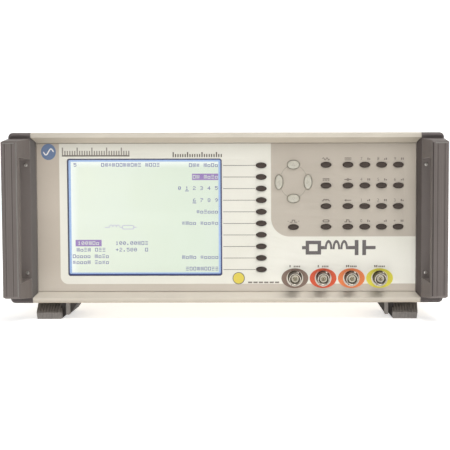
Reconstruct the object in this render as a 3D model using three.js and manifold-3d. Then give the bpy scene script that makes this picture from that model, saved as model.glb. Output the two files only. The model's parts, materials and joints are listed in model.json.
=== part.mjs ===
// Bench LCR meter, modelled as an assembly of separate named pieces.
// Millimetres, +Z up, front panel facing -Y, +X to the viewer's right.
// Origin: bottom centre of the whole object, on the surface the feet stand on.
// Inside the group, y is measured backwards from the front plane of the rails.

import * as THREE from 'three';
import { mergeVertices } from 'three/addons/utils/BufferGeometryUtils.js';
import { ConvexGeometry } from 'three/addons/geometries/ConvexGeometry.js';
import Module from 'manifold-3d';

const wasm = await Module();
wasm.setup();

// ---------------------------------------------------------------- driving dimensions
const GAP = 0.3;                 // running gap between neighbouring pieces
const BODY_W = 336;              // across the cheeks, the grips 0.5 wider each side
const BODY_TOP = 145;            // top of the front frame
const BODY_BOTTOM = 13;          // underside of the front frame, feet below
const GRIP_REACH = 23;           // how far the grips stand in front of the rails
const BODY_DEPTH = 317;          // rail plane to the rear edge of the cover
const FRONT_Y = -(BODY_DEPTH - GRIP_REACH) / 2;   // rail plane in the object's own frame

const RAIL_HALF = 150.5;         // half length of the cream rails
const FRAME_DEPTH = 16;
const PANEL_HALF = 147;          // half width of the front panel
const PANEL_Z0 = 21.6;
const PANEL_Z1 = 136.7;
const BEVEL = 4.2;               // inner bevel of the rails
const BEVEL_DEPTH = 4.5;
const PANEL_Y = 4.8;             // front face of the panel
const PANEL_T = 2.7;

const LCD = { x0: -124.0, x1: -3.6, z0: 33.6, z1: 125.05 };   // window opening

const KEY_A = 3.95, KEY_B = 1.95;      // half axes of the dark oval keys
const KEY_PROUD = 1.3;                 // height of a key above the panel
const KEY_CLEAR = 0.3;                 // gap between key and its hole
const KEY_BACK = 12.0;                 // rear end of a key
const KEY_SIDES = 12;

const SOFTKEY_X = 26.9, SOFTKEY_Z = 119.65, SOFTKEY_PITCH = 9.005;
const PAD_X = [77.2, 94.2, 107.3, 120.3, 133.3];
const PAD_Z = [120.0, 103.95, 87.9, 71.85];
const TRIGGER = [51.9, 71.65];
const ARROWS = {
  up: [51.9, 120.15, 4.75, 3.2],
  down: [51.9, 93.95, 4.75, 3.2],
  left: [40.7, 106.65, 3.0, 5.6],
  right: [63.2, 106.65, 3.0, 5.6],
};

const JACK_X = [53, 75, 97, 119];      // 22 mm pitch
const JACK_Z = 32.2;
const JACK_BARREL_R = 4.85;
const JACK_HOLE_R = 5.2;
const JACK_FLANGE_R = 5.9;

const COVER_HALF = 166.5, COVER_TOP = 144.1, SHEET = 1.2;
const REAR_Y = 308, REAR_T = 1.5;

// ---------------------------------------------------------------- helpers
// A closed geometry becomes a solid: only positions, shared vertices, no empty triangles, faces out.
function solid(geometry) {
  let g = geometry.clone();
  g.deleteAttribute('normal');
  g.deleteAttribute('uv');
  g = mergeVertices(g, 1e-4);
  const pos = g.attributes.position.array;
  const index = g.index.array;
  const tri = [];
  for (let i = 0; i < index.length; i += 3) {
    const [a, b, c] = [index[i], index[i + 1], index[i + 2]];
    if (a !== b && b !== c && a !== c) tri.push(a, b, c);
  }
  let volume = 0;
  const p = (i) => [pos[3 * i], pos[3 * i + 1], pos[3 * i + 2]];
  for (let i = 0; i < tri.length; i += 3) {
    const [a, b, c] = [p(tri[i]), p(tri[i + 1]), p(tri[i + 2])];
    volume += a[0] * (b[1] * c[2] - b[2] * c[1]) - a[1] * (b[0] * c[2] - b[2] * c[0]) + a[2] * (b[0] * c[1] - b[1] * c[0]);
  }
  if (volume < 0) for (let i = 0; i < tri.length; i += 3) [tri[i + 1], tri[i + 2]] = [tri[i + 2], tri[i + 1]];
  return new wasm.Manifold(new wasm.Mesh({
    numProp: 3, vertProperties: new Float32Array(pos), triVerts: new Uint32Array(tri),
  }));
}

function geometryOf(manifold) {
  const mesh = manifold.getMesh();
  const g = new THREE.BufferGeometry();
  g.setAttribute('position', new THREE.BufferAttribute(new Float32Array(mesh.vertProperties), 3));
  g.setIndex(new THREE.BufferAttribute(new Uint32Array(mesh.triVerts), 1));
  g.computeVertexNormals();
  return g;
}

function box(x0, x1, y0, y1, z0, z1) {
  const g = new THREE.BoxGeometry(x1 - x0, y1 - y0, z1 - z0);
  g.translate((x0 + x1) / 2, (y0 + y1) / 2, (z0 + z1) / 2);
  return solid(g);
}

function hull(points) {
  return solid(new ConvexGeometry(points.map((p) => new THREE.Vector3(...p))));
}

function outline(points) {
  return new THREE.Shape(points.map(([a, b]) => new THREE.Vector2(a, b)));
}

// Outline drawn in X and Z, carried along Y.
function prismXZ(shape, y0, y1) {
  const g = new THREE.ExtrudeGeometry(shape, { depth: y1 - y0, bevelEnabled: false, curveSegments: 1 });
  g.rotateX(Math.PI / 2);
  g.translate(0, y1, 0);
  return solid(g);
}

// Outline drawn in X and Y, carried along Z.
function prismXY(shape, z0, z1) {
  const g = new THREE.ExtrudeGeometry(shape, { depth: z1 - z0, bevelEnabled: false, curveSegments: 1 });
  g.translate(0, 0, z0);
  return solid(g);
}

// Outline drawn in Y and Z, carried along X.
function prismYZ(shape, x0, x1) {
  const g = new THREE.ExtrudeGeometry(shape, { depth: x1 - x0, bevelEnabled: false, curveSegments: 1 });
  g.applyMatrix4(new THREE.Matrix4().makeBasis(
    new THREE.Vector3(0, 1, 0), new THREE.Vector3(0, 0, 1), new THREE.Vector3(1, 0, 0)));
  g.translate(x0, 0, 0);
  return solid(g);
}

function ovalPoints(cx, cz, a, b, n) {
  const out = [];
  for (let i = 0; i < n; i++) {
    const t = (i / n) * 2 * Math.PI;
    out.push([cx + a * Math.sin(t), cz + b * Math.cos(t)]);
  }
  return out;
}

function roundedRect(x0, x1, z0, z1, r, n = 4) {
  const out = [];
  const corners = [[x1 - r, z1 - r, 0], [x0 + r, z1 - r, 90], [x0 + r, z0 + r, 180], [x1 - r, z0 + r, 270]];
  for (const [cx, cz, start] of corners) {
    for (let i = 0; i <= n; i++) {
      const t = ((start + (90 * i) / n) * Math.PI) / 180;
      out.push([cx + r * Math.cos(t), cz + r * Math.sin(t)]);
    }
  }
  return out;
}

// A rod along X.
function rodX(x0, x1, y, z, r, n = 12) {
  const g = new THREE.CylinderGeometry(r, r, x1 - x0, n);
  g.rotateZ(Math.PI / 2);
  g.translate((x0 + x1) / 2, y, z);
  return solid(g);
}

function rodZ(x, y, z0, z1, r, n = 12) {
  const g = new THREE.CylinderGeometry(r, r, z1 - z0, n);
  g.rotateX(Math.PI / 2);
  g.translate(x, y, (z0 + z1) / 2);
  return solid(g);
}

const mirrored = (manifold) => {
  const g = geometryOf(manifold);
  g.scale(-1, 1, 1);
  return solid(g);
};

// ---------------------------------------------------------------- scene graph
const lcrMeter = new THREE.Group();
const body = new THREE.Group();
body.position.set(0, FRONT_Y, 0);
lcrMeter.add(body);

function add(name, geometry, look, position = [0, 0, 0], group = body) {
  const mesh = new THREE.Mesh(geometry, new THREE.MeshStandardMaterial(look));
  mesh.name = name;
  mesh.position.set(...position);
  group.add(mesh);
  return mesh;
}

const CREAM = { color: 0xd6cdbe, roughness: 0.55, metalness: 0 };
const PANEL = { color: 0xe4e1d6, roughness: 0.5, metalness: 0 };
const DARK = { color: 0x6f6763, roughness: 0.6, metalness: 0 };
const COVER = { color: 0xd2cabb, roughness: 0.55, metalness: 0.1 };
const ZINC = { color: 0xa9abab, roughness: 0.4, metalness: 0.9 };
const KEY = { color: 0x5c5149, roughness: 0.55, metalness: 0 };
const ARROW = { color: 0xd8d2c4, roughness: 0.4, metalness: 0 };
const NICKEL = { color: 0xb9b4ab, roughness: 0.25, metalness: 1 };
const GLASS = { color: 0xf2f6f4, roughness: 0.08, metalness: 0 };
const LCDLOOK = { color: 0xeff5e9, roughness: 0.5, metalness: 0 };
const BOARD = { color: 0x2f5a3c, roughness: 0.6, metalness: 0 };
const IRON = { color: 0x5a5552, roughness: 0.5, metalness: 0.7 };
const BLACK = { color: 0x1d1c1b, roughness: 0.5, metalness: 0 };
const FOOT = { color: 0x7a726d, roughness: 0.7, metalness: 0 };

// ---------------------------------------------------------------- front frame
// One moulding: cream rails above and below, thin posts behind the cheeks, and a rear collar
// that the covers slide over.
const OPEN_HALF = PANEL_HALF + GAP;
const OPEN_Z0 = PANEL_Z0 - GAP, OPEN_Z1 = PANEL_Z1 + GAP;

// Corner bevels on the outer long edges: 1.2 mm in front on top, 2.2 mm below.
const railSection = outline([
  [1.0, BODY_TOP], [0, BODY_TOP - 1.0], [0, BODY_BOTTOM + 2.4], [0.7, BODY_BOTTOM + 0.8],
  [2.4, BODY_BOTTOM], [FRAME_DEPTH, BODY_BOTTOM], [FRAME_DEPTH, BODY_TOP]]);
let frame = prismYZ(railSection, -RAIL_HALF, RAIL_HALF);
frame = frame.add(prismXZ(outline([
  [-164.8, 14.8], [164.8, 14.8], [164.8, 140.9], [163.3, 142.4], [-163.3, 142.4], [-164.8, 140.9]]), FRAME_DEPTH + GAP, 24));
frame = frame.add(box(-150, 150, FRAME_DEPTH - 1, FRAME_DEPTH + 1, 15, 142));
const ext = 1;                                         // frustum carried past the front face
const slope = BEVEL / BEVEL_DEPTH;
const f0 = BEVEL + ext * slope;
frame = frame.subtract(hull([
  [-OPEN_HALF - f0, -ext, OPEN_Z0 - f0], [OPEN_HALF + f0, -ext, OPEN_Z0 - f0],
  [-OPEN_HALF - f0, -ext, OPEN_Z1 + f0], [OPEN_HALF + f0, -ext, OPEN_Z1 + f0],
  [-OPEN_HALF, BEVEL_DEPTH, OPEN_Z0], [OPEN_HALF, BEVEL_DEPTH, OPEN_Z0],
  [-OPEN_HALF, BEVEL_DEPTH, OPEN_Z1], [OPEN_HALF, BEVEL_DEPTH, OPEN_Z1]]));
frame = frame.subtract(box(-OPEN_HALF, OPEN_HALF, 0, 30, OPEN_Z0, OPEN_Z1));
// Room for the dark inner bevels of the side mouldings, mitred at 45 degrees.
for (const s of [-1, 1]) {
  const m = 0.3 * Math.SQRT2;
  frame = frame.subtract(hull([
    [s * 151.5, -1, OPEN_Z0 - 4.7 - m], [s * 151.5, -1, OPEN_Z1 + 4.7 + m],
    [s * 151.5, BEVEL_DEPTH + 0.7, OPEN_Z0 - 4.7 - m], [s * 151.5, BEVEL_DEPTH + 0.7, OPEN_Z1 + 4.7 + m],
    [s * 146, -1, OPEN_Z0 + 0.8 - m], [s * 146, -1, OPEN_Z1 - 0.8 + m],
    [s * 146, BEVEL_DEPTH + 0.7, OPEN_Z0 + 0.8 - m], [s * 146, BEVEL_DEPTH + 0.7, OPEN_Z1 - 0.8 + m]]));
}
add('front_frame', geometryOf(frame), CREAM);

// ---------------------------------------------------------------- front panel
const panelShape = outline([[-PANEL_HALF, PANEL_Z0], [PANEL_HALF, PANEL_Z0], [PANEL_HALF, PANEL_Z1], [-PANEL_HALF, PANEL_Z1]]);
const hole = (points) => new THREE.Path(points.map(([a, b]) => new THREE.Vector2(a, b)));
panelShape.holes.push(hole(roundedRect(LCD.x0, LCD.x1, LCD.z0, LCD.z1, 1.5, 3)));
const ovalKeys = [];
for (let i = 0; i < 10; i++) {
  ovalKeys.push([`softkey_${String(i + 1).padStart(2, '0')}`, SOFTKEY_X, SOFTKEY_Z - i * SOFTKEY_PITCH]);
}
PAD_Z.forEach((z, r) => PAD_X.forEach((x, c) => {
  ovalKeys.push([`keypad_key_${String(r * 5 + c + 1).padStart(2, '0')}`, x, z]);
}));
ovalKeys.push(['trigger_key', ...TRIGGER]);
for (const [, x, z] of ovalKeys) {
  panelShape.holes.push(hole(ovalPoints(x, z, KEY_A + KEY_CLEAR, KEY_B + KEY_CLEAR, KEY_SIDES)));
}
for (const [x, z, a, b] of Object.values(ARROWS)) {
  panelShape.holes.push(hole(ovalPoints(x, z, a + KEY_CLEAR, b + KEY_CLEAR, 16)));
}
for (const x of JACK_X) panelShape.holes.push(hole(ovalPoints(x, JACK_Z, JACK_HOLE_R, JACK_HOLE_R, 16)));
add('front_panel', geometryOf(prismXZ(panelShape, PANEL_Y, PANEL_Y + PANEL_T)), PANEL);

// ---------------------------------------------------------------- keys
// Oval cap through the panel, a wider skirt behind it, and a flat rear end over the switch.
function keyGeometry(a, b, n, proud) {
  const front = PANEL_Y - proud, skirt = PANEL_Y + PANEL_T + GAP;
  const profile = [
    [0, front], [a * 0.88, front], [a, front + 0.6], [a, skirt], [a + 0.9, skirt], [a + 0.9, KEY_BACK], [0, KEY_BACK],
  ].map(([r, y]) => new THREE.Vector2(r, y));
  const g = new THREE.LatheGeometry(profile, n);
  g.scale(1, 1, b / a);
  return geometryOf(solid(g));
}
const ovalKey = keyGeometry(KEY_A, KEY_B, KEY_SIDES, KEY_PROUD);
for (const [name, x, z] of ovalKeys) add(name, ovalKey.clone(), KEY, [x, 0, z]);
for (const [name, [x, z, a, b]] of Object.entries(ARROWS)) {
  add(`arrow_key_${name}`, keyGeometry(a, b, 16, 1.6), ARROW, [x, 0, z]);
}

// ---------------------------------------------------------------- test jacks
// Coaxial bayonet jack: nut face, barrel with an annular mouth, centre contact, threaded tail.
const jackProfile = [
  [0, -5.4], [1.1, -5.4], [1.1, -1.0], [2.35, -1.0], [2.35, 1.5], [4.05, 1.5], [4.05, -7.2], [JACK_BARREL_R, -7.2],
  [JACK_BARREL_R, 2.9], [JACK_FLANGE_R, 2.9], [JACK_FLANGE_R, PANEL_Y - GAP], [JACK_BARREL_R, PANEL_Y - GAP],
  [JACK_BARREL_R, 17], [0, 17],
].map(([r, y]) => new THREE.Vector2(r, y));
const jack = geometryOf(solid(new THREE.LatheGeometry(jackProfile, 16)));
['jack_low_current', 'jack_low_potential', 'jack_high_potential', 'jack_high_current'].forEach((name, i) => {
  add(name, jack.clone(), NICKEL, [JACK_X[i], 0, JACK_Z]);
});

// ---------------------------------------------------------------- display
add('display_window', geometryOf(box(-127, -0.5, PANEL_Y + PANEL_T + GAP, 9.8, 30.4, 128.2)), GLASS);
add('lcd_module', geometryOf(box(-134, 9, 10.1, 19, 27.4, 132)), LCDLOOK);

// ---------------------------------------------------------------- side mouldings with grips
// Right hand one; the left is its mirror image.
const cheekRing = (y, inset) => {
  const pts = [];
  const x1 = BODY_W / 2 - inset, z0 = BODY_BOTTOM + inset, z1 = BODY_TOP - inset, r = 3.5 - inset * 0.5;
  pts.push([150.8, y, z0], [150.8, y, z1]);
  for (let i = 0; i <= 3; i++) {
    const t = (i / 3) * (Math.PI / 2);
    pts.push([x1 - r + r * Math.sin(t), y, z1 - r + r * Math.cos(t)]);
    pts.push([x1 - r + r * Math.sin(t), y, z0 + r - r * Math.cos(t)]);
  }
  return pts;
};
let handle = hull([...cheekRing(0, 1.6), ...cheekRing(1.8, 0), ...cheekRing(FRAME_DEPTH, 0)]);
// inner bevel down to the panel, mitred
handle = handle.add(hull([
  [151.5, 0, OPEN_Z0 - 4.7], [151.5, 0, OPEN_Z1 + 4.7], [150.8, 0, OPEN_Z0 - 4.0], [150.8, 0, OPEN_Z1 + 4.0],
  [147.2, BEVEL_DEPTH, OPEN_Z0 - 0.4], [147.2, BEVEL_DEPTH, OPEN_Z1 + 0.4],
  [151.5, BEVEL_DEPTH, OPEN_Z0 - 4.7], [151.5, BEVEL_DEPTH, OPEN_Z1 + 4.7]]));
// upper and lower arms
const R = GRIP_REACH;
handle = handle.add(hull([
  [151.1, 0.5, 124.6], [151.1, 0.5, 140.4], [168, 0.5, 124.6], [168, 0.5, 140.4],
  [155.5, -R + 1.6, 126.5], [155.5, -R + 1.6, 138.8], [168.5, -R + 1.6, 126.5], [168.5, -R + 1.6, 137.8],
  [157.1, -R, 126.5], [157.1, -R, 137.2], [167.1, -R, 126.5], [167.1, -R, 136.6], [166.7, -R + 2, 138.7]]));
handle = handle.add(hull([
  [151.1, 0.5, 32.4], [151.1, 0.5, 17.2], [168, 0.5, 32.4], [168, 0.5, 17.2],
  [155.5, -R + 1.6, 30.5], [155.5, -R + 1.6, 19.2], [168.5, -R + 1.6, 30.5], [168.5, -R + 1.6, 20.2],
  [157.1, -R, 30.5], [157.1, -R, 20.8], [167.1, -R, 30.5], [167.1, -R, 21.4], [166.7, -R + 2, 19.3]]));
// grip bar
handle = handle.add(prismXY(outline([
  [155.5, -15], [155.5, -R + 1.6], [157.1, -R], [167.1, -R], [168.1, -R + 0.5], [168.5, -R + 1.6], [168.5, -16.5], [167, -15]]), 27, 130));
add('handle_right', geometryOf(handle), DARK);
add('handle_left', geometryOf(mirrored(handle)), DARK);

// ---------------------------------------------------------------- covers
// Top cover: one folded sheet, top and both sides, with rounded folds and side vents.
const coverRing = (half, top, r, from) => {
  const out = [];
  for (let i = 0; i <= 4; i++) {
    const t = (i / 4) * (Math.PI / 2);
    out.push([half - r + r * Math.cos(t), top - r + r * Math.sin(t)]);
  }
  const left = out.map(([x, z]) => [-x, z]).reverse();
  return [[half, from], ...out, ...left, [-half, from]];
};
const coverOuter = coverRing(COVER_HALF, COVER_TOP, 3, 14.8);
const coverInner = coverRing(COVER_HALF - SHEET, COVER_TOP - SHEET, 1.8, 14.8).reverse();
let cover = prismXZ(outline([...coverOuter, ...coverInner]), FRAME_DEPTH + GAP, BODY_DEPTH);
for (let i = 0; i < 12; i++) {
  const y = 190 + i * 8;
  cover = cover.subtract(box(-170, 170, y, y + 3, 45, 115));
}
add('top_cover', geometryOf(cover), COVER);

// Base tray: floor with upturned side flanges, a rear lip and board pillars.
let tray = box(-COVER_HALF, COVER_HALF, FRAME_DEPTH + GAP, BODY_DEPTH, 13.2, 14.4);
for (const s of [-1, 1]) {
  tray = tray.add(box(Math.min(s * 163.6, s * 164.8), Math.max(s * 163.6, s * 164.8), 24.4, 307.6, 14, 30));
}
for (const [x, y] of [[-140, 60], [60, 60], [-140, 280], [60, 280]]) tray = tray.add(rodZ(x, y, 14, 23.7, 4, 10));
for (const [x, y] of [[85, 170], [150, 170], [85, 240], [150, 240]]) tray = tray.add(rodZ(x, y, 14, 17.7, 4, 10));
add('base_tray', geometryOf(tray), ZINC);

// Rear panel: plate with cut-outs for the mains module and a block of vents.
const rearShape = outline([[-164.6, 14.8], [164.6, 14.8], [164.6, 140.8], [163.0, 142.4], [-163.0, 142.4], [-164.6, 140.8]]);
const INLET = { x: 127, z0: 41, z1: 103 };
rearShape.holes.push(hole([[INLET.x - 14.4, INLET.z0 - 0.4], [INLET.x - 14.4, INLET.z1 + 0.4], [INLET.x + 14.4, INLET.z1 + 0.4], [INLET.x + 14.4, INLET.z0 - 0.4]]));
for (let i = 0; i < 9; i++) {
  const z = 62 + i * 6;
  rearShape.holes.push(hole([[-150, z], [-150, z + 3], [-95, z + 3], [-95, z]]));
}
add('rear_panel', geometryOf(prismXZ(rearShape, REAR_Y, REAR_Y + REAR_T)), ZINC);

// ---------------------------------------------------------------- mains module, fuse drawer, rocker
let inlet = box(INLET.x - 17, INLET.x + 17, REAR_Y + REAR_T + GAP, 312.3, 37, 107);
inlet = inlet.add(box(INLET.x - 14, INLET.x + 14, 284, 311, INLET.z0, INLET.z1));
// three-pole appliance socket with two cut corners
inlet = inlet.subtract(prismXZ(outline([
  [INLET.x - 12, 60.5], [INLET.x + 12, 60.5], [INLET.x + 12, 49.5], [INLET.x + 7.5, 44.5], [INLET.x - 7.5, 44.5], [INLET.x - 12, 49.5]]), 296, 314));
for (const [dx, z] of [[-7, 55], [7, 55], [0, 51]]) {
  inlet = inlet.add(box(INLET.x + dx - 1, INLET.x + dx + 1, 295, 305, z - 2, z + 2));
}
inlet = inlet.subtract(box(INLET.x - 11, INLET.x + 11, 287, 314, 65, 75));          // fuse bay
inlet = inlet.subtract(box(INLET.x - 10, INLET.x + 10, 298, 314, 79.8, 99.2));      // rocker window
const ROCKER = { y: 309.2, z: 89.5 };
inlet = inlet.subtract(rodX(INLET.x - 12, INLET.x + 12, ROCKER.y, ROCKER.z, 1.5, 10));
add('mains_inlet', geometryOf(inlet), BLACK);

let drawer = box(INLET.x - 10.6, INLET.x + 10.6, 288, 312.6, 65.4, 74.6);
drawer = drawer.subtract(box(INLET.x - 9.4, INLET.x + 9.4, 290, 309, 71.2, 80));       // shallow fuse seat
drawer = drawer.subtract(box(INLET.x - 4, INLET.x + 4, 311.6, 314, 71.8, 76));        // finger nick
add('fuse_drawer', geometryOf(drawer), BLACK);

// See-saw rocker, stored in its off position, tipped 10 degrees.
const tip = (-10 * Math.PI) / 180;
const rockerPts = [[-2.4, -8.4], [-2.4, 8.4], [3.0, 8.6], [1.0, 0], [3.0, -8.6]].map(([y, z]) => [
  ROCKER.y + y * Math.cos(tip) - z * Math.sin(tip), ROCKER.z + y * Math.sin(tip) + z * Math.cos(tip)]);
let rocker = prismYZ(outline(rockerPts), INLET.x - 9.6, INLET.x + 9.6);
rocker = rocker.add(rodX(INLET.x - 11.6, INLET.x + 11.6, ROCKER.y, ROCKER.z, 1.1, 10));
add('power_rocker', geometryOf(rocker), BLACK);

// ---------------------------------------------------------------- inside
let keyBoard = box(17, 42.5, 13.5, 15.1, 30, 131);
keyBoard = keyBoard.add(box(42, 145, 13.5, 15.1, 44, 131));
add('key_circuit_board', geometryOf(keyBoard), BOARD);

let mainBoard = box(-150, 75, 45, 295, 24, 25.6);
for (const [x0, x1, y0, y1, h] of [
  [-120, -80, 80, 130, 12], [-60, -20, 90, 130, 8], [10, 40, 120, 150, 18], [-130, -90, 200, 250, 22], [-40, 0, 220, 235, 30]]) {
  mainBoard = mainBoard.add(box(x0, x1, y0, y1, 25, 25.6 + h));
}
add('main_circuit_board', geometryOf(mainBoard), BOARD);

let transformer = box(84, 151, 180, 230, 27, 78);
transformer = transformer.add(box(80, 155, 165, 245, 18, 20));
transformer = transformer.add(box(98, 137, 167, 243, 19, 68));
add('mains_transformer', geometryOf(transformer), IRON);

// ---------------------------------------------------------------- feet and tilt legs
// Front foot, right hand: a front lip that slopes back under the case, an inner ridge, a slanted
// web behind it, and a pocket for the leg below.
const FOOT_TOP = 12.7;
const LEG = { x0: 132.2, x1: 145.6, axisY: 21.6, axisZ: 5.0 };
let foot = hull([
  [129.5, 5, 0], [148.2, 5, 0], [129.5, 5, 5], [148.9, 5, 5], [129.5, 20, FOOT_TOP], [150, 20, FOOT_TOP],
  [129.5, 52, 0], [148.2, 52, 0], [129.5, 52, FOOT_TOP], [150, 52, FOOT_TOP]]);
foot = foot.add(prismXZ(outline([
  [131, FOOT_TOP], [117.3, FOOT_TOP], [123.7, 3.3], [126.7, 3.3], [129.5, 0], [131, 0]]), 12, 52));
foot = foot.add(box(123.3, 125.8, 5, 13, 3.3, FOOT_TOP));
foot = foot.subtract(box(131.8, 146, 17, 47, -1, 9.6));
foot = foot.subtract(rodX(130.3, 147.6, LEG.axisY, LEG.axisZ, 1.8, 12));
add('front_foot_right', geometryOf(foot), FOOT);
add('front_foot_left', geometryOf(mirrored(foot)), FOOT);

let leg = hull([
  [LEG.x0, LEG.axisY, 2.6], [LEG.x1, LEG.axisY, 2.6], [LEG.x0, LEG.axisY, 7.4], [LEG.x1, LEG.axisY, 7.4],
  [LEG.x0, 45, 3.0], [LEG.x1, 45, 3.0], [LEG.x0, 45.6, 4.2], [LEG.x1, 45.6, 4.2], [LEG.x0, 45.6, 6.6], [LEG.x1, 45.6, 6.6]]);
leg = leg.add(rodX(LEG.x0, LEG.x1, LEG.axisY, LEG.axisZ, 2.4, 16));
leg = leg.add(rodX(130.7, 147.2, LEG.axisY, LEG.axisZ, 1.4, 12));
add('tilt_leg_right', geometryOf(leg), FOOT);
add('tilt_leg_left', geometryOf(mirrored(leg)), FOOT);

let rearFoot = hull([
  [147.5, 262, FOOT_TOP], [119, 262, FOOT_TOP], [147.5, 300, FOOT_TOP], [119, 300, FOOT_TOP],
  [146, 264, 0], [121, 264, 0], [146, 298, 0], [121, 298, 0]]);
add('rear_foot_right', geometryOf(rearFoot), FOOT);
add('rear_foot_left', geometryOf(mirrored(rearFoot)), FOOT);

export default lcrMeter;
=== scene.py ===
import json
import math
import random

import bmesh
import bpy
from mathutils import Matrix, Vector


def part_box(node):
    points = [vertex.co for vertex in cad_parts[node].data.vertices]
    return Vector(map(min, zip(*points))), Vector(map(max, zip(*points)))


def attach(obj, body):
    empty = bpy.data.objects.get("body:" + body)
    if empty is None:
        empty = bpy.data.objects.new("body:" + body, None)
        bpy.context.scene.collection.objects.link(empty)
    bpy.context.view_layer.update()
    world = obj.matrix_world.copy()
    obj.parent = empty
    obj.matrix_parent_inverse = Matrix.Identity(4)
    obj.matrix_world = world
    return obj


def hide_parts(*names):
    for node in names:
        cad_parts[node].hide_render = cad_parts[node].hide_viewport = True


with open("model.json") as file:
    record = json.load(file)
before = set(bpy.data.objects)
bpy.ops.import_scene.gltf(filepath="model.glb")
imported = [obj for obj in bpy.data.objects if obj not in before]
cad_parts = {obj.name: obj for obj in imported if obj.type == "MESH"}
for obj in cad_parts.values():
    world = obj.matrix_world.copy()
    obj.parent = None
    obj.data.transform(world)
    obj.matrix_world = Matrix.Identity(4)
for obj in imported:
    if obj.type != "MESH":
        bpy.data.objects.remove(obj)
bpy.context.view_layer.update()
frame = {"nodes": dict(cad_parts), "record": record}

NODES = frame["nodes"]
MM = 0.001
# The rail plane, taken from the frame: the front frame's foremost face.
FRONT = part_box("front_frame")[0].y / MM
PANEL_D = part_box("front_panel")[0].y / MM - FRONT      # panel face behind the rails
random.seed(7)


def P(x, d, z):
    """Millimetres, d measured back from the rail plane, to metres in the row frame."""
    return Vector((x * MM, (d + FRONT) * MM, z * MM))


# ------------------------------------------------------------------ camera
cam_data = bpy.data.cameras.new("camera")
cam = bpy.data.objects.new("camera", cam_data)
bpy.context.scene.collection.objects.link(cam)
bpy.context.scene.camera = cam
CAM_X, CAM_DIST, CAM_Z = 38.0, 900.0, 133.1
CAM_PITCH = 3.8
FIELD = 349.0                        # width of the view at the panel, millimetres
cam.location = P(CAM_X, PANEL_D - CAM_DIST, CAM_Z)
cam.rotation_euler = (Matrix.Rotation(math.radians(90 - CAM_PITCH), 3, "X") @ Matrix.Rotation(math.radians(-0.1), 3, "Z")).to_euler()
cam_data.sensor_width = 36
cam_data.lens = 36 * CAM_DIST / FIELD
cam_data.shift_x = -(CAM_X + 1.2) / FIELD
cam_data.clip_start = 0.05
cam_data.clip_end = 20


# ------------------------------------------------------------------ materials
def lin(rgb):
    out = []
    for c in rgb:
        c = c / 255.0
        out.append(c / 12.92 if c <= 0.04045 else ((c + 0.055) / 1.055) ** 2.4)
    return (*out, 1.0)


class Nodes:
    """Small helper that adds and links shader nodes."""

    def __init__(self, name):
        self.mat = bpy.data.materials.new(name)
        self.mat.use_nodes = True
        self.t = self.mat.node_tree
        self.bsdf = self.t.nodes["Principled BSDF"]
        self.out = self.t.nodes["Material Output"]
        self.tc = self.t.nodes.new("ShaderNodeTexCoord")

    def new(self, kind, **settings):
        n = self.t.nodes.new(kind)
        for k, v in settings.items():
            setattr(n, k, v)
        return n

    def link(self, a, b):
        self.t.links.new(a, b)

    def put(self, socket, value):
        if hasattr(value, "is_linked") or isinstance(value, bpy.types.NodeSocket):
            self.link(value, socket)
        else:
            socket.default_value = value

    def math(self, op, a, b=0.0, c=None, clamp=False):
        n = self.new("ShaderNodeMath", operation=op, use_clamp=clamp)
        self.put(n.inputs[0], a)
        self.put(n.inputs[1], b)
        if c is not None:
            self.put(n.inputs[2], c)
        return n.outputs[0]

    def noise(self, scale, detail=2.0, rough=0.5, coord=None, stretch=None):
        n = self.new("ShaderNodeTexNoise")
        n.inputs["Scale"].default_value = scale
        n.inputs["Detail"].default_value = detail
        n.inputs["Roughness"].default_value = rough
        src = coord or self.tc.outputs["Object"]
        if stretch:
            m = self.new("ShaderNodeMapping")
            m.inputs["Scale"].default_value = stretch
            self.link(src, m.inputs["Vector"])
            src = m.outputs["Vector"]
        self.link(src, n.inputs["Vector"])
        return n.outputs["Fac"]

    def voronoi(self, scale, feature="F1"):
        n = self.new("ShaderNodeTexVoronoi", feature=feature)
        n.inputs["Scale"].default_value = scale
        self.link(self.tc.outputs["Object"], n.inputs["Vector"])
        return n.outputs["Distance"]

    def mix(self, fac, a, b, mode="MIX"):
        n = self.new("ShaderNodeMix", data_type="RGBA", blend_type=mode)
        self.put(n.inputs["Factor"], fac)
        self.put(n.inputs["A"], a)
        self.put(n.inputs["B"], b)
        return n.outputs["Result"]

    def ramp(self, fac, stops):
        n = self.new("ShaderNodeValToRGB")
        self.put(n.inputs["Fac"], fac)
        e = n.color_ramp.elements
        while len(e) < len(stops):
            e.new(0.5)
        for s, (pos, col) in zip(e, stops):
            s.position = pos
            s.color = col
        return n.outputs["Color"]

    def remap(self, v, a0, a1, b0, b1):
        n = self.new("ShaderNodeMapRange")
        self.put(n.inputs["Value"], v)
        n.inputs["From Min"].default_value = a0
        n.inputs["From Max"].default_value = a1
        n.inputs["To Min"].default_value = b0
        n.inputs["To Max"].default_value = b1
        return n.outputs["Result"]

    def bump(self, height, strength=0.3, distance=0.00005, normal=None):
        n = self.new("ShaderNodeBump")
        n.inputs["Strength"].default_value = strength
        n.inputs["Distance"].default_value = distance
        self.link(height, n.inputs["Height"])
        if normal is not None:
            self.link(normal, n.inputs["Normal"])
        return n.outputs["Normal"]

    def edges(self, radius=0.0006, gain=3.0):
        """1 along sharp convex edges, fading over radius: where edges are lightened as wear and as a painted edge
        highlight.
        """
        b = self.new("ShaderNodeBevel", samples=4)
        b.inputs["Radius"].default_value = radius
        g = self.new("ShaderNodeNewGeometry")
        d = self.new("ShaderNodeVectorMath", operation="DOT_PRODUCT")
        self.link(b.outputs[0], d.inputs[0])
        self.link(g.outputs["Normal"], d.inputs[1])
        return self.math("MULTIPLY", self.math("SUBTRACT", 1.0, d.outputs["Value"]), gain, clamp=True)


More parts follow.
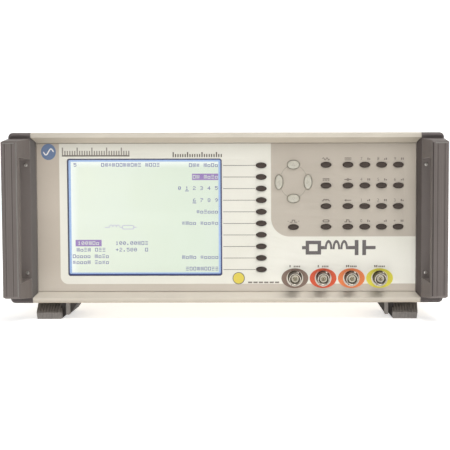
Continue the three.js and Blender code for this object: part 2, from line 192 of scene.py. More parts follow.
def moulded(name, rgb, rough=0.5, grain=2200, depth=0.00004, strength=0.35, mottling=0.05, edge_wear_and_highlight=None, spec=0.4,
            metallic=0.0, coat=0.0, dust=0.0, down_shade=None):
    """Painted or moulded surface: fine grain, slight mottling, uneven gloss, edges lightened as wear and as a painted
    highlight, optional painted shade on faces that look down.
    """
    n = Nodes(name)
    base = lin(rgb)
    dark = tuple(c * (1 - mottling) for c in base[:3]) + (1,)
    light = tuple(min(1, c * (1 + mottling)) for c in base[:3]) + (1,)
    big = n.noise(28, 4, 0.55)
    colour = n.mix(n.remap(big, 0.3, 0.7, 0, 1), dark, light)
    small = n.noise(grain * 0.45, 2, 0.5)
    colour = n.mix(n.remap(small, 0.35, 0.65, 0, 0.10 + mottling), colour, dark)
    if dust:
        d = n.noise(9, 5, 0.6)
        pale = tuple(c * 0.55 + 0.45 * 0.5 for c in base[:3]) + (1,)
        colour = n.mix(n.remap(d, 0.5, 0.8, 0, dust), colour, pale)
    # edges lightened: partly wear, partly a painted highlight
    if edge_wear_and_highlight:
        colour = n.mix(n.math("MULTIPLY", n.edges(), edge_wear_and_highlight[1]), colour, lin(edge_wear_and_highlight[0]))
    if down_shade:                                     # painted shade on faces that look down
        g = n.new("ShaderNodeNewGeometry")
        s = n.new("ShaderNodeSeparateXYZ")
        n.link(g.outputs["Normal"], s.inputs[0])
        down = n.remap(s.outputs["Z"], -0.05, -0.6, 0, 1)
        colour = n.mix(n.math("MULTIPLY", n.math("MINIMUM", down, 1.0), down_shade[1]), colour, lin(down_shade[0]))
    n.link(colour, n.bsdf.inputs["Base Color"])
    n.link(n.remap(n.noise(60, 3), 0.3, 0.7, rough - 0.06, rough + 0.07), n.bsdf.inputs["Roughness"])
    fine = n.noise(grain, 3, 0.55)
    n.link(n.bump(fine, strength, depth), n.bsdf.inputs["Normal"])
    n.bsdf.inputs["Metallic"].default_value = metallic
    n.bsdf.inputs["Specular IOR Level"].default_value = spec
    n.bsdf.inputs["Coat Weight"].default_value = coat
    return n.mat


def metal(name, rgb, rough=0.25, scratch=(1, 60, 1), tint=0.12):
    n = Nodes(name)
    base = lin(rgb)
    dark = tuple(c * (1 - tint) for c in base[:3]) + (1,)
    n.link(n.mix(n.remap(n.noise(180, 4, 0.6), 0.3, 0.7, 0, 1), dark, base), n.bsdf.inputs["Base Color"])
    n.bsdf.inputs["Metallic"].default_value = 1.0
    streak = n.noise(900, 3, 0.6, stretch=scratch)
    n.link(n.remap(streak, 0.3, 0.7, rough - 0.07, rough + 0.1), n.bsdf.inputs["Roughness"])
    n.link(n.bump(streak, 0.12, 0.00002), n.bsdf.inputs["Normal"])
    return n.mat


def printed(name, rgb, rough=0.5, fade=0.08):
    """Screen-printed ink with slight thin spots."""
    n = Nodes(name)
    base = lin(rgb)
    pale = tuple(c + (0.7 - c) * fade for c in base[:3]) + (1,)
    n.link(n.mix(n.remap(n.noise(2500, 3, 0.6), 0.4, 0.75, 0, 1), base, pale), n.bsdf.inputs["Base Color"])
    n.link(n.remap(n.noise(300, 2), 0.3, 0.7, rough - 0.05, rough + 0.05), n.bsdf.inputs["Roughness"])
    n.link(n.bump(n.noise(3000, 2), 0.15, 0.00001), n.bsdf.inputs["Normal"])
    n.bsdf.inputs["Specular IOR Level"].default_value = 0.35
    return n.mat


def panel_material():
    """Printed overlay: cream field, taupe left and lower margins, taupe key zone with one round corner; painted shade
    towards the top, painted light towards the bottom and over the jacks' area.
    """
    n = Nodes("panel_overlay")
    sep = n.new("ShaderNodeSeparateXYZ")
    n.link(n.tc.outputs["Object"], sep.inputs[0])
    x = n.math("MULTIPLY", sep.outputs["X"], 1000.0)
    z = n.math("MULTIPLY", sep.outputs["Z"], 1000.0)

    def field(x0, z0, r):
        qx = n.math("MAXIMUM", n.math("SUBTRACT", x0 + r, x), 0.0)
        qz = n.math("MAXIMUM", n.math("SUBTRACT", z0 + r, z), 0.0)
        dist = n.math("SQRT", n.math("ADD", n.math("MULTIPLY", qx, qx), n.math("MULTIPLY", qz, qz)))
        return n.math("MULTIPLY_ADD", n.math("SUBTRACT", dist, float(r)), -4.0, 0.5, clamp=True)

    big = n.noise(14, 3, 0.5)
    vary = n.remap(big, 0.35, 0.65, 0.0, 1.0)
    taupe = n.mix(vary, lin((195, 184, 170)), lin((202, 191, 177)))
    cream = n.mix(vary, lin((234, 232, 220)), lin((239, 237, 226)))
    pad = n.mix(vary, lin((191, 182, 169)), lin((198, 189, 176)))
    colour = n.mix(field(-129.5, 27.45, 6.0), taupe, cream)
    colour = n.mix(field(34.5, 64.35, 14.5), colour, pad)
    speck = n.noise(3500, 2, 0.5)
    colour = n.mix(n.remap(speck, 0.3, 0.7, 0.0, 0.06), colour, lin((120, 112, 100)))
    # painted shade: darker towards the top, below the top rail
    colour = n.mix(n.remap(z, 90.0, 138.0, 0.0, 0.12), colour, lin((120, 100, 80)))
    # painted light: lighter towards the bottom
    colour = n.mix(n.remap(z, 45.0, 20.0, 0.0, 0.2), colour, lin((246, 240, 228)))
    # painted light: the panel is lightened over the jacks' area
    jack_area_light = n.math("MULTIPLY", n.remap(z, 62.0, 42.0, 0.0, 0.6), n.remap(x, 28.0, 44.0, 0.0, 1.0))
    jack_area_light = n.math("MULTIPLY", jack_area_light, n.remap(z, 27.3, 27.6, 0.0, 1.0))
    colour = n.mix(jack_area_light, colour, lin((255, 253, 243)))
    n.link(colour, n.bsdf.inputs["Base Color"])
    n.link(n.remap(n.noise(120, 3), 0.3, 0.7, 0.42, 0.52), n.bsdf.inputs["Roughness"])
    n.link(n.bump(n.noise(2800, 2, 0.5), 0.25, 0.00002), n.bsdf.inputs["Normal"])
    n.bsdf.inputs["Specular IOR Level"].default_value = 0.35
    return n.mat


def grip_material():
    """Dark warm grey moulding with painted shade on the flat cheeks beyond the grip arms and on the inner walls,
    painted shade lines between fine ribs on the grip bar, and edges lightened as wear and as a painted highlight.
    """
    n = Nodes("grip_moulding")
    sep = n.new("ShaderNodeSeparateXYZ")
    n.link(n.tc.outputs["Object"], sep.inputs[0])
    z = n.math("MULTIPLY", sep.outputs["Z"], 1000.0)
    y = n.math("MULTIPLY", sep.outputs["Y"], 1000.0)
    ends = n.math("ADD", n.remap(z, 138.6, 139.8, 0, 1), n.remap(z, 18.6, 17.4, 0, 1), clamp=True)
    back = n.remap(y, FRONT - 2.5, FRONT - 0.8, 0, 1)
    x = n.math("MULTIPLY", sep.outputs["X"], 1000.0)
    inner = n.remap(n.math("ABSOLUTE", x), 151.2, 150.7, 0, 1)
    right = n.remap(x, -10, 10, 0.5, 0.85)
    outer_ribs = n.math("GREATER_THAN", n.math("FRACT", n.math("MULTIPLY", x, 1 / 1.6)), 0.6)
    on_bar = n.remap(y, FRONT - 20.0, FRONT - 22.4, 0, 1)
    base = lin((112, 104, 100))
    # low: the dark tone used for painted shade, lighter in a strip at the very top as a painted highlight
    low = n.mix(n.remap(z, 142.2, 143.2, 0, 1), lin((70, 62, 62)), lin((104, 96, 95)))
    streak = n.noise(260, 3, 0.55, stretch=(1, 1, 0.03))
    colour = n.mix(n.remap(streak, 0.3, 0.7, 0, 0.35), base, lin((100, 92, 88)))
    colour = n.mix(n.remap(n.noise(30, 4, 0.55), 0.3, 0.7, 0, 0.25), colour, lin((124, 116, 112)))
    # painted shade on the flat cheeks above and below the grip arms
    colour = n.mix(n.math("MULTIPLY", n.math("MULTIPLY", ends, back), 0.85), colour, low)
    # painted shade on the inner walls, deeper on the right handle, whose inner wall faces away from the light
    inner_wall_shade = n.mix(n.remap(x, -10, 10, 0, 1), lin((88, 88, 87)), lin((74, 66, 63)))
    colour = n.mix(n.math("MULTIPLY", inner, right), colour, inner_wall_shade)
    # painted shade: fine darker stripes across the grip bar's front, between ribs
    colour = n.mix(n.math("MULTIPLY", n.math("MULTIPLY", outer_ribs, on_bar), 0.16), colour, low)
    colour = n.mix(n.remap(n.noise(9, 5, 0.6), 0.55, 0.8, 0, 0.1), colour, lin((160, 152, 146)))
    # edges lightened: partly wear, partly a painted highlight
    colour = n.mix(n.math("MULTIPLY", n.edges(0.0007, 4.0), 0.5), colour, lin((168, 160, 155)))
    n.link(colour, n.bsdf.inputs["Base Color"])
    n.link(n.remap(n.noise(60, 3), 0.3, 0.7, 0.46, 0.6), n.bsdf.inputs["Roughness"])
    n.link(n.bump(n.noise(1500, 3, 0.55), 0.5, 0.00008), n.bsdf.inputs["Normal"])
    n.bsdf.inputs["Specular IOR Level"].default_value = 0.4
    return n.mat


def screen_material():
    """Back-lit display field: pale green, whiter beside the lamp at the left and along the top."""
    n = Nodes("screen_field")
    sep = n.new("ShaderNodeSeparateXYZ")
    n.link(n.tc.outputs["Object"], sep.inputs[0])
    x = n.math("MULTIPLY", sep.outputs["X"], 1000.0)
    z = n.math("MULTIPLY", sep.outputs["Z"], 1000.0)
    colour = n.mix(n.remap(x, -118.0, -10.0, 0, 1), lin((234, 238, 223)), lin((219, 228, 213)))
    colour = n.mix(n.remap(n.noise(16, 3), 0.35, 0.65, 0, 0.5), colour, lin((229, 235, 227)))
    side = n.math("POWER", n.remap(x, -121.5, -114.5, 1, 0), 1.6)
    top = n.math("POWER", n.remap(z, SCREEN["z1"] - 5.5, SCREEN["z1"] - 1.0, 0, 1), 1.4)
    glow = n.math("MAXIMUM", side, n.math("MULTIPLY", top, 0.8), clamp=True)
    colour = n.mix(n.math("MULTIPLY", glow, 0.9), colour, lin((250, 252, 252)))
    fx = n.math("ABSOLUTE", n.math("SUBTRACT", n.math("FRACT", n.math("MULTIPLY", x, 1 / 0.36)), 0.5))
    fz = n.math("ABSOLUTE", n.math("SUBTRACT", n.math("FRACT", n.math("MULTIPLY", z, 1 / 0.36)), 0.5))
    grid = n.math("GREATER_THAN", n.math("MAXIMUM", fx, fz), 0.45)
    colour = n.mix(n.math("MULTIPLY", grid, 0.05), colour, lin((150, 170, 160)))
    n.link(colour, n.bsdf.inputs["Emission Color"])
    n.bsdf.inputs["Emission Strength"].default_value = 0.98
    n.link(n.mix(0.85, colour, (0, 0, 0, 1)), n.bsdf.inputs["Base Color"])
    n.link(n.remap(n.noise(300, 2), 0.3, 0.7, 0.35, 0.45), n.bsdf.inputs["Roughness"])
    n.bsdf.inputs["Specular IOR Level"].default_value = 0.15
    return n.mat


def foot_material():
    """Foot moulding: mid grey where it is rubbed, edges lightened as wear and as a painted highlight, and painted shade
    in the recessed web beside the rest.
    """
    n = Nodes("foot_moulding")
    sep = n.new("ShaderNodeSeparateXYZ")
    n.link(n.tc.outputs["Object"], sep.inputs[0])
    x = n.math("ABSOLUTE", n.math("MULTIPLY", sep.outputs["X"], 1000.0))
    y = n.math("MULTIPLY", sep.outputs["Y"], 1000.0)
    web = n.math("MULTIPLY", n.remap(x, 131.3, 130.6, 0, 1), n.remap(y, FRONT + 10.5, FRONT + 11.6, 0, 1))
    web = n.math("MULTIPLY", web, n.remap(y, FRONT + 60, FRONT + 70, 1, 0))
    colour = n.mix(n.remap(n.noise(28, 4, 0.55), 0.3, 0.7, 0, 1), lin((130, 125, 121)), lin((142, 137, 133)))
    colour = n.mix(n.remap(n.noise(630, 2, 0.5), 0.35, 0.65, 0, 0.16), colour, lin((98, 92, 88)))
    colour = n.mix(n.remap(n.noise(9, 5, 0.6), 0.5, 0.8, 0, 0.18), colour, lin((170, 165, 158)))
    # edges lightened: partly wear, partly a painted highlight
    colour = n.mix(n.math("MULTIPLY", n.edges(), 0.4), colour, lin((164, 158, 152)))
    # painted shade in the recessed web
    colour = n.mix(n.math("MULTIPLY", web, 0.85), colour, lin((44, 40, 38)))
    n.link(colour, n.bsdf.inputs["Base Color"])
    n.link(n.remap(n.noise(60, 3), 0.3, 0.7, 0.54, 0.68), n.bsdf.inputs["Roughness"])
    n.link(n.bump(n.noise(1400, 3, 0.55), 0.5, 0.00009), n.bsdf.inputs["Normal"])
    n.bsdf.inputs["Specular IOR Level"].default_value = 0.4
    return n.mat


def rim_material():
    """Shaded surround of the lit field: purple-brown at the left and top, deep blue at the right and below."""
    n = Nodes("screen_rim")
    sep = n.new("ShaderNodeSeparateXYZ")
    n.link(n.tc.outputs["Object"], sep.inputs[0])
    x = n.math("MULTIPLY", sep.outputs["X"], 1000.0)
    z = n.math("MULTIPLY", sep.outputs["Z"], 1000.0)
    far = n.math("MAXIMUM", n.remap(x, -60, -8, 0, 1), n.remap(z, 50, 36, 0, 1), clamp=True)
    colour = n.mix(far, lin((84, 74, 104)), lin((78, 88, 152)))
    colour = n.mix(n.remap(n.noise(200, 3), 0.3, 0.7, 0, 0.1), colour, lin((60, 60, 90)))
    n.link(colour, n.bsdf.inputs["Emission Color"])
    n.bsdf.inputs["Emission Strength"].default_value = 0.55
    n.link(n.mix(0.5, colour, (0, 0, 0, 1)), n.bsdf.inputs["Base Color"])
    n.link(n.remap(n.noise(300, 2), 0.3, 0.7, 0.45, 0.55), n.bsdf.inputs["Roughness"])
    return n.mat


def lit(name, rgb, strength, second=None, grid=False):
    """A lit display surface: emission over a dim diffuse base, with a fine dot grid."""
    n = Nodes(name)
    col = lin(rgb)
    if second:
        sep = n.new("ShaderNodeSeparateXYZ")
        n.link(n.tc.outputs["Object"], sep.inputs[0])
        fac = n.remap(sep.outputs["X"], -0.12, -0.01, 0, 1)
        wob = n.math("ADD", fac, n.remap(n.noise(18, 2), 0.3, 0.7, -0.25, 0.25), clamp=True)
        colour = n.mix(wob, col, lin(second))
    else:
        colour = n.mix(n.remap(n.noise(400, 2), 0.3, 0.7, 0, 0.06), col, (0, 0, 0, 1))
    if grid:
        sep2 = n.new("ShaderNodeSeparateXYZ")
        n.link(n.tc.outputs["Object"], sep2.inputs[0])
        gx = n.math("ABSOLUTE", n.math("SUBTRACT", n.math("FRACT", n.math("MULTIPLY", sep2.outputs["X"], 1 / 0.00036)), 0.5))
        gz = n.math("ABSOLUTE", n.math("SUBTRACT", n.math("FRACT", n.math("MULTIPLY", sep2.outputs["Z"], 1 / 0.00036)), 0.5))
        line = n.math("GREATER_THAN", n.math("MAXIMUM", gx, gz), 0.45)
        colour = n.mix(n.math("MULTIPLY", line, 0.05), colour, lin((150, 170, 160)))
    n.link(colour, n.bsdf.inputs["Emission Color"])
    n.bsdf.inputs["Emission Strength"].default_value = strength
    n.link(n.mix(0.8, colour, (0, 0, 0, 1)), n.bsdf.inputs["Base Color"])
    n.link(n.remap(n.noise(300, 2), 0.3, 0.7, 0.35, 0.45), n.bsdf.inputs["Roughness"])
    n.bsdf.inputs["Specular IOR Level"].default_value = 0.2
    return n.mat


def clear_cover(name):
    """Thin hard-coated window: clear, with a faint reflection that grows at grazing angles."""
    n = Nodes(name)
    n.t.nodes.remove(n.bsdf)
    tr = n.new("ShaderNodeBsdfTransparent")
    gl = n.new("ShaderNodeBsdfGlossy")
    n.link(n.remap(n.noise(250, 3), 0.3, 0.7, 0.06, 0.12), gl.inputs["Roughness"])
    tr.inputs["Color"].default_value = (0.97, 0.985, 0.97, 1)
    facing = n.new("ShaderNodeLayerWeight")
    facing.inputs["Blend"].default_value = 0.5
    sheen = n.math("MULTIPLY_ADD", n.math("POWER", facing.outputs["Facing"], 4.0), 0.75, 0.02, clamp=True)
    mix = n.new("ShaderNodeMixShader")
    n.link(sheen, mix.inputs[0])
    n.link(tr.outputs[0], mix.inputs[1])
    n.link(gl.outputs[0], mix.inputs[2])
    n.link(mix.outputs[0], n.out.inputs["Surface"])
    return n.mat


def milky(name, rgb):
    """Pale translucent moulded key."""
    n = Nodes(name)
    base = lin(rgb)
    n.link(n.mix(n.remap(n.noise(300, 3), 0.3, 0.7, 0, 1), tuple(c * 0.94 for c in base[:3]) + (1,), base), n.bsdf.inputs["Base Color"])
    n.bsdf.inputs["Subsurface Weight"].default_value = 0.35
    n.bsdf.inputs["Subsurface Radius"].default_value = (0.0012, 0.0011, 0.0009)
    n.link(n.remap(n.noise(500, 2), 0.3, 0.7, 0.25, 0.36), n.bsdf.inputs["Roughness"])
    n.link(n.bump(n.noise(2500, 2), 0.12, 0.00002), n.bsdf.inputs["Normal"])
    return n.mat


SCREEN = dict(x0=-121.5, x1=-6.45, z0=35.9, z1=122.6)
M = {
    # cream moulding: painted shade on faces that look down, edges lightened as wear and as a painted highlight
    "cream": moulded("cream_moulding", (214, 206, 192), 0.5, edge_wear_and_highlight=((230, 223, 208), 0.3), down_shade=((140, 126, 104), 0.48)),
    "panel": panel_material(),
    "dark": grip_material(),
    "cover": moulded("cover_powder_coat", (214, 205, 190), 0.5, grain=1300, depth=0.00009, strength=0.55, mottling=0.03),
    "tray": moulded("tray_coat", (196, 187, 172), 0.5, grain=1300, depth=0.00008, strength=0.5, mottling=0.04),
    "rear": moulded("rear_coat", (205, 196, 181), 0.5, grain=1300, depth=0.00008, strength=0.5, mottling=0.03),
    "key": moulded("key_silicone", (70, 60, 54), 0.5, grain=3000, depth=0.00002, strength=0.3, mottling=0.06, spec=0.3),
    "arrow": milky("arrow_key_milky", (202, 198, 184)),
    "nickel": metal("nickel_plate", (214, 207, 196), 0.2),
    "steel": metal("screw_steel", (206, 202, 196), 0.3),
    # grip_bead is lighter, a painted highlight; grip_bead_deep is its darker copy, painted shade on the right handle
    "bead": moulded("grip_bead", (128, 124, 120), 0.5, grain=1800, strength=0.3, mottling=0.12),
    "bead_deep": moulded("grip_bead_deep", (64, 56, 54), 0.55, grain=1800, strength=0.3, mottling=0.12),
    "bead_dark": moulded("grip_bead_dark", (88, 80, 77), 0.5, grain=1800, strength=0.3, mottling=0.12),
    "dark_steel": metal("blackened_screw", (120, 114, 108), 0.32),
    "brass": metal("contact_gold", (232, 222, 196), 0.25),
    "ptfe": moulded("jack_insulator", (232, 225, 208), 0.35, grain=2600, strength=0.1, mottling=0.02),
    "washer": moulded("jack_washer", (240, 233, 220), 0.4, grain=2600, strength=0.1, mottling=0.03),
    "brown": printed("ink_brown", (140, 117, 103)),
    "red": printed("ink_red", (228, 92, 55)),
    "orange": printed("ink_orange", (242, 134, 76)),
    "yellow": printed("ink_yellow", (230, 219, 72)),
    "dot_yellow": printed("ink_dot_yellow", (228, 208, 84)),
    "ink": printed("ink_grey", (104, 98, 97)),
    "ink_dark": printed("ink_dark_grey", (86, 77, 72)),
    "ink_ring": printed("ink_key_ring", (150, 144, 130)),
    "ink_mark": printed("ink_mark_grey", (150, 143, 135)),
    "ink_soft": printed("ink_soft_grey", (128, 118, 110)),
    "ink_line": printed("ink_hairline", (104, 97, 88)),
    "ink_arrow": printed("ink_arrow", (176, 172, 158)),
    "badge": printed("badge_blue", (104, 124, 158)),
    "badge_white": printed("badge_white", (236, 233, 228)),
    "black": moulded("socket_black", (34, 33, 32), 0.42, grain=1800, depth=0.00005, mottling=0.08),
    "foot": foot_material(),
    "board": moulded("board_mask", (38, 92, 58), 0.35, grain=2600, strength=0.15),
    "core": moulded("core_varnish", (74, 66, 60), 0.4, grain=1500, metallic=0.3),
    "screen": screen_material(),
    "screen_ink": lit("screen_ink", (92, 86, 186), 0.54),
    "screen_bar": lit("screen_bar", (168, 138, 200), 0.8),
    "screen_ink_faint": lit("screen_ink_faint", (196, 190, 222), 0.85),
    "screen_edge": lit("screen_edge", (172, 196, 240), 0.92),
    "screen_rim": rim_material(),
    # dark sheet for the window opening's side wall: painted shade, tinted by a painted reflection of the screen's blue
    "opening_shade": moulded("display_opening_shade", (62, 58, 84), 0.5, grain=2400, strength=0.2),
    "jack_dark": metal("jack_body", (98, 90, 80), 0.3),
    "window": clear_cover("window_coating"),
    "module": moulded("module_bezel", (60, 58, 62), 0.5),
    # dark seat round each handle screw: painted shade round its head
    "vent_dark": moulded("vent_shadow", (60, 56, 52), 0.6),
    "rating": moulded("rating_plate", (214, 212, 206), 0.45),
}


# ------------------------------------------------------------------ geometry helpers
def link(obj):
    bpy.context.scene.collection.objects.link(obj)
    return obj


def set_material(obj, key):
    obj.data.materials.clear()
    obj.data.materials.append(M[key])


def finished(obj, mat, body="chassis", replaces=()):
    set_material(obj, mat)
    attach(obj, body)
    if replaces:
        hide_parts(*([replaces] if isinstance(replaces, str) else replaces))
    return obj


def from_bmesh(bm, name, angle=35.0):
    bmesh.ops.remove_doubles(bm, verts=bm.verts, dist=1e-7)
    bmesh.ops.recalc_face_normals(bm, faces=bm.faces)
    me = bpy.data.meshes.new(name)
    bm.to_mesh(me)
    bm.free()
    me.shade_smooth()
    me.set_sharp_from_angle(angle=math.radians(angle))
    return link(bpy.data.objects.new(name, me))


def bake(obj, angle=35.0):
    """Applies the object's modifiers to its mesh."""
    dg = bpy.context.evaluated_depsgraph_get()
    me = bpy.data.meshes.new_from_object(obj.evaluated_get(dg))
    old = obj.data
    obj.modifiers.clear()
    obj.data = me
    me.name = obj.name
    if old.users == 0:
        bpy.data.meshes.remove(old)
    me.shade_smooth()
    me.set_sharp_from_angle(angle=math.radians(angle))
    return obj


def soften(obj, width, segments=2, angle=28.0):
    """Rounds the hard edges and keeps the flats flat."""
    b = obj.modifiers.new("round", "BEVEL")
    b.width = width * MM
    b.segments = segments
    b.limit_method = "ANGLE"
    b.angle_limit = math.radians(angle)
    b.use_clamp_overlap = True
    b.miter_outer = "MITER_ARC"
    w = obj.modifiers.new("flats", "WEIGHTED_NORMAL")
    w.keep_sharp = True
    w.weight = 80
    return obj


def copy_node(node, name):
    """A new object on the CAD node's solid, with its doubled vertices joined and flat faces dissolved."""
    me = NODES[node].data.copy()
    bm = bmesh.new()
    bm.from_mesh(me)
    bmesh.ops.remove_doubles(bm, verts=bm.verts, dist=2e-6)
    bmesh.ops.dissolve_limit(bm, angle_limit=math.radians(0.6), verts=bm.verts, edges=bm.edges)
    bm.to_mesh(me)
    bm.free()
    me.materials.clear()
    me.name = name
    return link(bpy.data.objects.new(name, me))


def cut(obj, cutters):
    """Takes the cutters' joined volume out of obj, then removes them."""
    for c in cutters:
        m = obj.modifiers.new("cut", "BOOLEAN")
        m.operation = "DIFFERENCE"
        m.solver = "EXACT"
        m.object = c
    bake(obj)
    for c in cutters:
        bpy.data.objects.remove(c)
    return obj


def box_into(bm, x0, x1, d0, d1, z0, z1):
    v = [bm.verts.new(P(x, d, z)) for x in (x0, x1) for d in (d0, d1) for z in (z0, z1)]
    for f in ((0, 1, 3, 2), (4, 6, 7, 5), (0, 4, 5, 1), (2, 3, 7, 6), (0, 2, 6, 4), (1, 5, 7, 3)):
        bm.faces.new([v[i] for i in f])


def boxes(name, specs, angle=35.0):
    bm = bmesh.new()
    for s in specs:
        box_into(bm, *s)
    return from_bmesh(bm, name, angle)


def prism_into(bm, pts, d0, d1):
    """Outline in X and Z carried along Y."""
    a = [bm.verts.new(P(x, d0, z)) for x, z in pts]
    b = [bm.verts.new(P(x, d1, z)) for x, z in pts]
    bm.faces.new(a)
    bm.faces.new(list(reversed(b)))
    for i in range(len(pts)):
        j = (i + 1) % len(pts)
        bm.faces.new([a[i], b[i], b[j], a[j]])


def prism(name, pts, d0, d1, angle=35.0):
    bm = bmesh.new()
    prism_into(bm, pts, d0, d1)
    return from_bmesh(bm, name, angle)


def oval(cx, cz, a, b, n=48, start=0.0, end=360.0):
    full = abs(end - start) >= 360
    out = []
    for i in range(n if full else n + 1):
        t = math.radians(start + (end - start) * i / n)
        out.append((cx + a * math.cos(t), cz + b * math.sin(t)))
    return out


def round_rect(x0, x1, z0, z1, r, n=8):
    out = []
    for cx, cz, s in ((x1 - r, z1 - r, 0), (x0 + r, z1 - r, 90), (x0 + r, z0 + r, 180), (x1 - r, z0 + r, 270)):
        for i in range(n + 1):
            t = math.radians(s + 90 * i / n)
            out.append((cx + r * math.cos(t), cz + r * math.sin(t)))
    return out


def plate(name, loops, d0, d1, bevel=0.0, res=2):
    """A flat plate in the XZ plane with true holes: loops[0] is the outline, the others are holes."""
    cu = bpy.data.curves.new(name, "CURVE")
    cu.dimensions = "2D"
    cu.fill_mode = "BOTH"
    for pts in loops:
        s = cu.splines.new("POLY")
        s.points.add(len(pts) - 1)
        for p, (x, z) in zip(s.points, pts):
            p.co = (x * MM, z * MM, 0, 1)
        s.use_cyclic_u = True
    cu.extrude = (d1 - d0) / 2 * MM - bevel * MM
    cu.bevel_depth = bevel * MM
    cu.bevel_resolution = res
    cu.offset = -bevel * MM
    tmp = link(bpy.data.objects.new(name + "_curve", cu))
    tmp.rotation_euler = (math.radians(90), 0, 0)
    tmp.location = P(0, (d0 + d1) / 2, 0)
    bpy.context.view_layer.update()
    dg = bpy.context.evaluated_depsgraph_get()
    me = bpy.data.meshes.new_from_object(tmp.evaluated_get(dg))
    me.transform(tmp.matrix_world)
    bpy.data.objects.remove(tmp)
    bpy.data.curves.remove(cu)
    me.name = name
    bm = bmesh.new()
    bm.from_mesh(me)
    bmesh.ops.remove_doubles(bm, verts=bm.verts, dist=1e-7)
    bmesh.ops.recalc_face_normals(bm, faces=bm.faces)
    bm.to_mesh(me)
    bm.free()
    me.materials.clear()
    me.shade_smooth()
    me.set_sharp_from_angle(angle=math.radians(35))
    return link(bpy.data.objects.new(name, me))


def turned_mesh(name, profile, n=48, squash_z=1.0, closed_ends=True, angle=35.0):
    """Turned about the Y axis through the origin: profile is (radius, depth) in millimetres."""
    bm = bmesh.new()
    rings = []
    for r, y in profile:
        if r < 1e-6:
            rings.append([bm.verts.new(Vector((0, y * MM, 0)))])
        else:
            rings.append([bm.verts.new(Vector((r * MM * math.cos(2 * math.pi * i / n), y * MM,
                                               r * MM * squash_z * math.sin(2 * math.pi * i / n)))) for i in range(n)])
    for a, b in zip(rings, rings[1:]):
        for i in range(n):
            j = (i + 1) % n
            if len(a) == 1 and len(b) == 1:
                continue
            if len(a) == 1:
                bm.faces.new([a[0], b[j], b[i]])
            elif len(b) == 1:
                bm.faces.new([a[i], a[j], b[0]])
            else:
                bm.faces.new([a[i], a[j], b[j], b[i]])
    bmesh.ops.remove_doubles(bm, verts=bm.verts, dist=1e-7)
    bmesh.ops.recalc_face_normals(bm, faces=bm.faces)
    me = bpy.data.meshes.new(name)
    bm.to_mesh(me)
    bm.free()
    me.shade_smooth()
    me.set_sharp_from_angle(angle=math.radians(angle))
    return me


def place(name, me, x, d, z, mat, body="chassis", replaces=(), rot=None, share=True):
    o = link(bpy.data.objects.new(name, me if share else me.copy()))
    if not me.materials:
        me.materials.append(M[mat])
    o.location = P(x, d, z)
    if rot:
        o.rotation_euler = rot
    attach(o, body)
    if replaces:
        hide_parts(*([replaces] if isinstance(replaces, str) else replaces))
    return o


def join_prisms(name, shapes, d0, d1, mat, body="chassis"):
    bm = bmesh.new()
    for pts in shapes:
        prism_into(bm, pts, d0, d1)
    return finished(from_bmesh(bm, name), mat, body)


def stroke(pts, width):
    """Outline of a line of the given width along pts, with square ends."""
    left, right = [], []
    n = len(pts)
    for i, (x, z) in enumerate(pts):
        if i == 0:
            dx, dz = pts[1][0] - x, pts[1][1] - z
        elif i == n - 1:
            dx, dz = x - pts[i - 1][0], z - pts[i - 1][1]
        else:
            dx, dz = pts[i + 1][0] - pts[i - 1][0], pts[i + 1][1] - pts[i - 1][1]
        length = math.hypot(dx, dz) or 1
        nx, nz = -dz / length * width / 2, dx / length * width / 2
        left.append((x + nx, z + nz))
        right.append((x - nx, z - nz))
    return left + right[::-1]


def digits(name, items, size, d, thick, mat, body="chassis"):
    """Printed numerals: items are (text, x, z of the middle)."""
    metas = []
    for text, x, z in items:
        cu = bpy.data.curves.new(name, "FONT")
        cu.body = text
        cu.size = size * MM
        cu.align_x = "CENTER"
        cu.align_y = "CENTER"
        cu.extrude = thick / 2 * MM
        tmp = link(bpy.data.objects.new(name + "_tmp", cu))
        tmp.rotation_euler = (math.radians(90), 0, 0)
        tmp.location = P(x, d - thick / 2, z)
        bpy.context.view_layer.update()
        dg = bpy.context.evaluated_depsgraph_get()
        me = bpy.data.meshes.new_from_object(tmp.evaluated_get(dg))
        me.transform(tmp.matrix_world)
        bpy.data.objects.remove(tmp)
        bpy.data.curves.remove(cu)
        metas.append(me)
    bm = bmesh.new()
    for me in metas:
        bm.from_mesh(me)
        bpy.data.meshes.remove(me)
    return finished(from_bmesh(bm, name), mat, body)


# ------------------------------------------------------------------ front frame, side mouldings
rails = copy_node("front_frame", "front_frame_moulding")
soften(rails, 0.35, 2)
rails.modifiers["round"].miter_outer = "MITER_SHARP"
bake(rails)
finished(rails, "cream", replaces="front_frame")

for side, sx in (("left", -1), ("right", 1)):
    h = copy_node(f"handle_{side}", f"handle_{side}_moulding")
    soften(h, 0.45, 3, 25)
    bake(h)
    finished(h, "dark", replaces=f"handle_{side}")


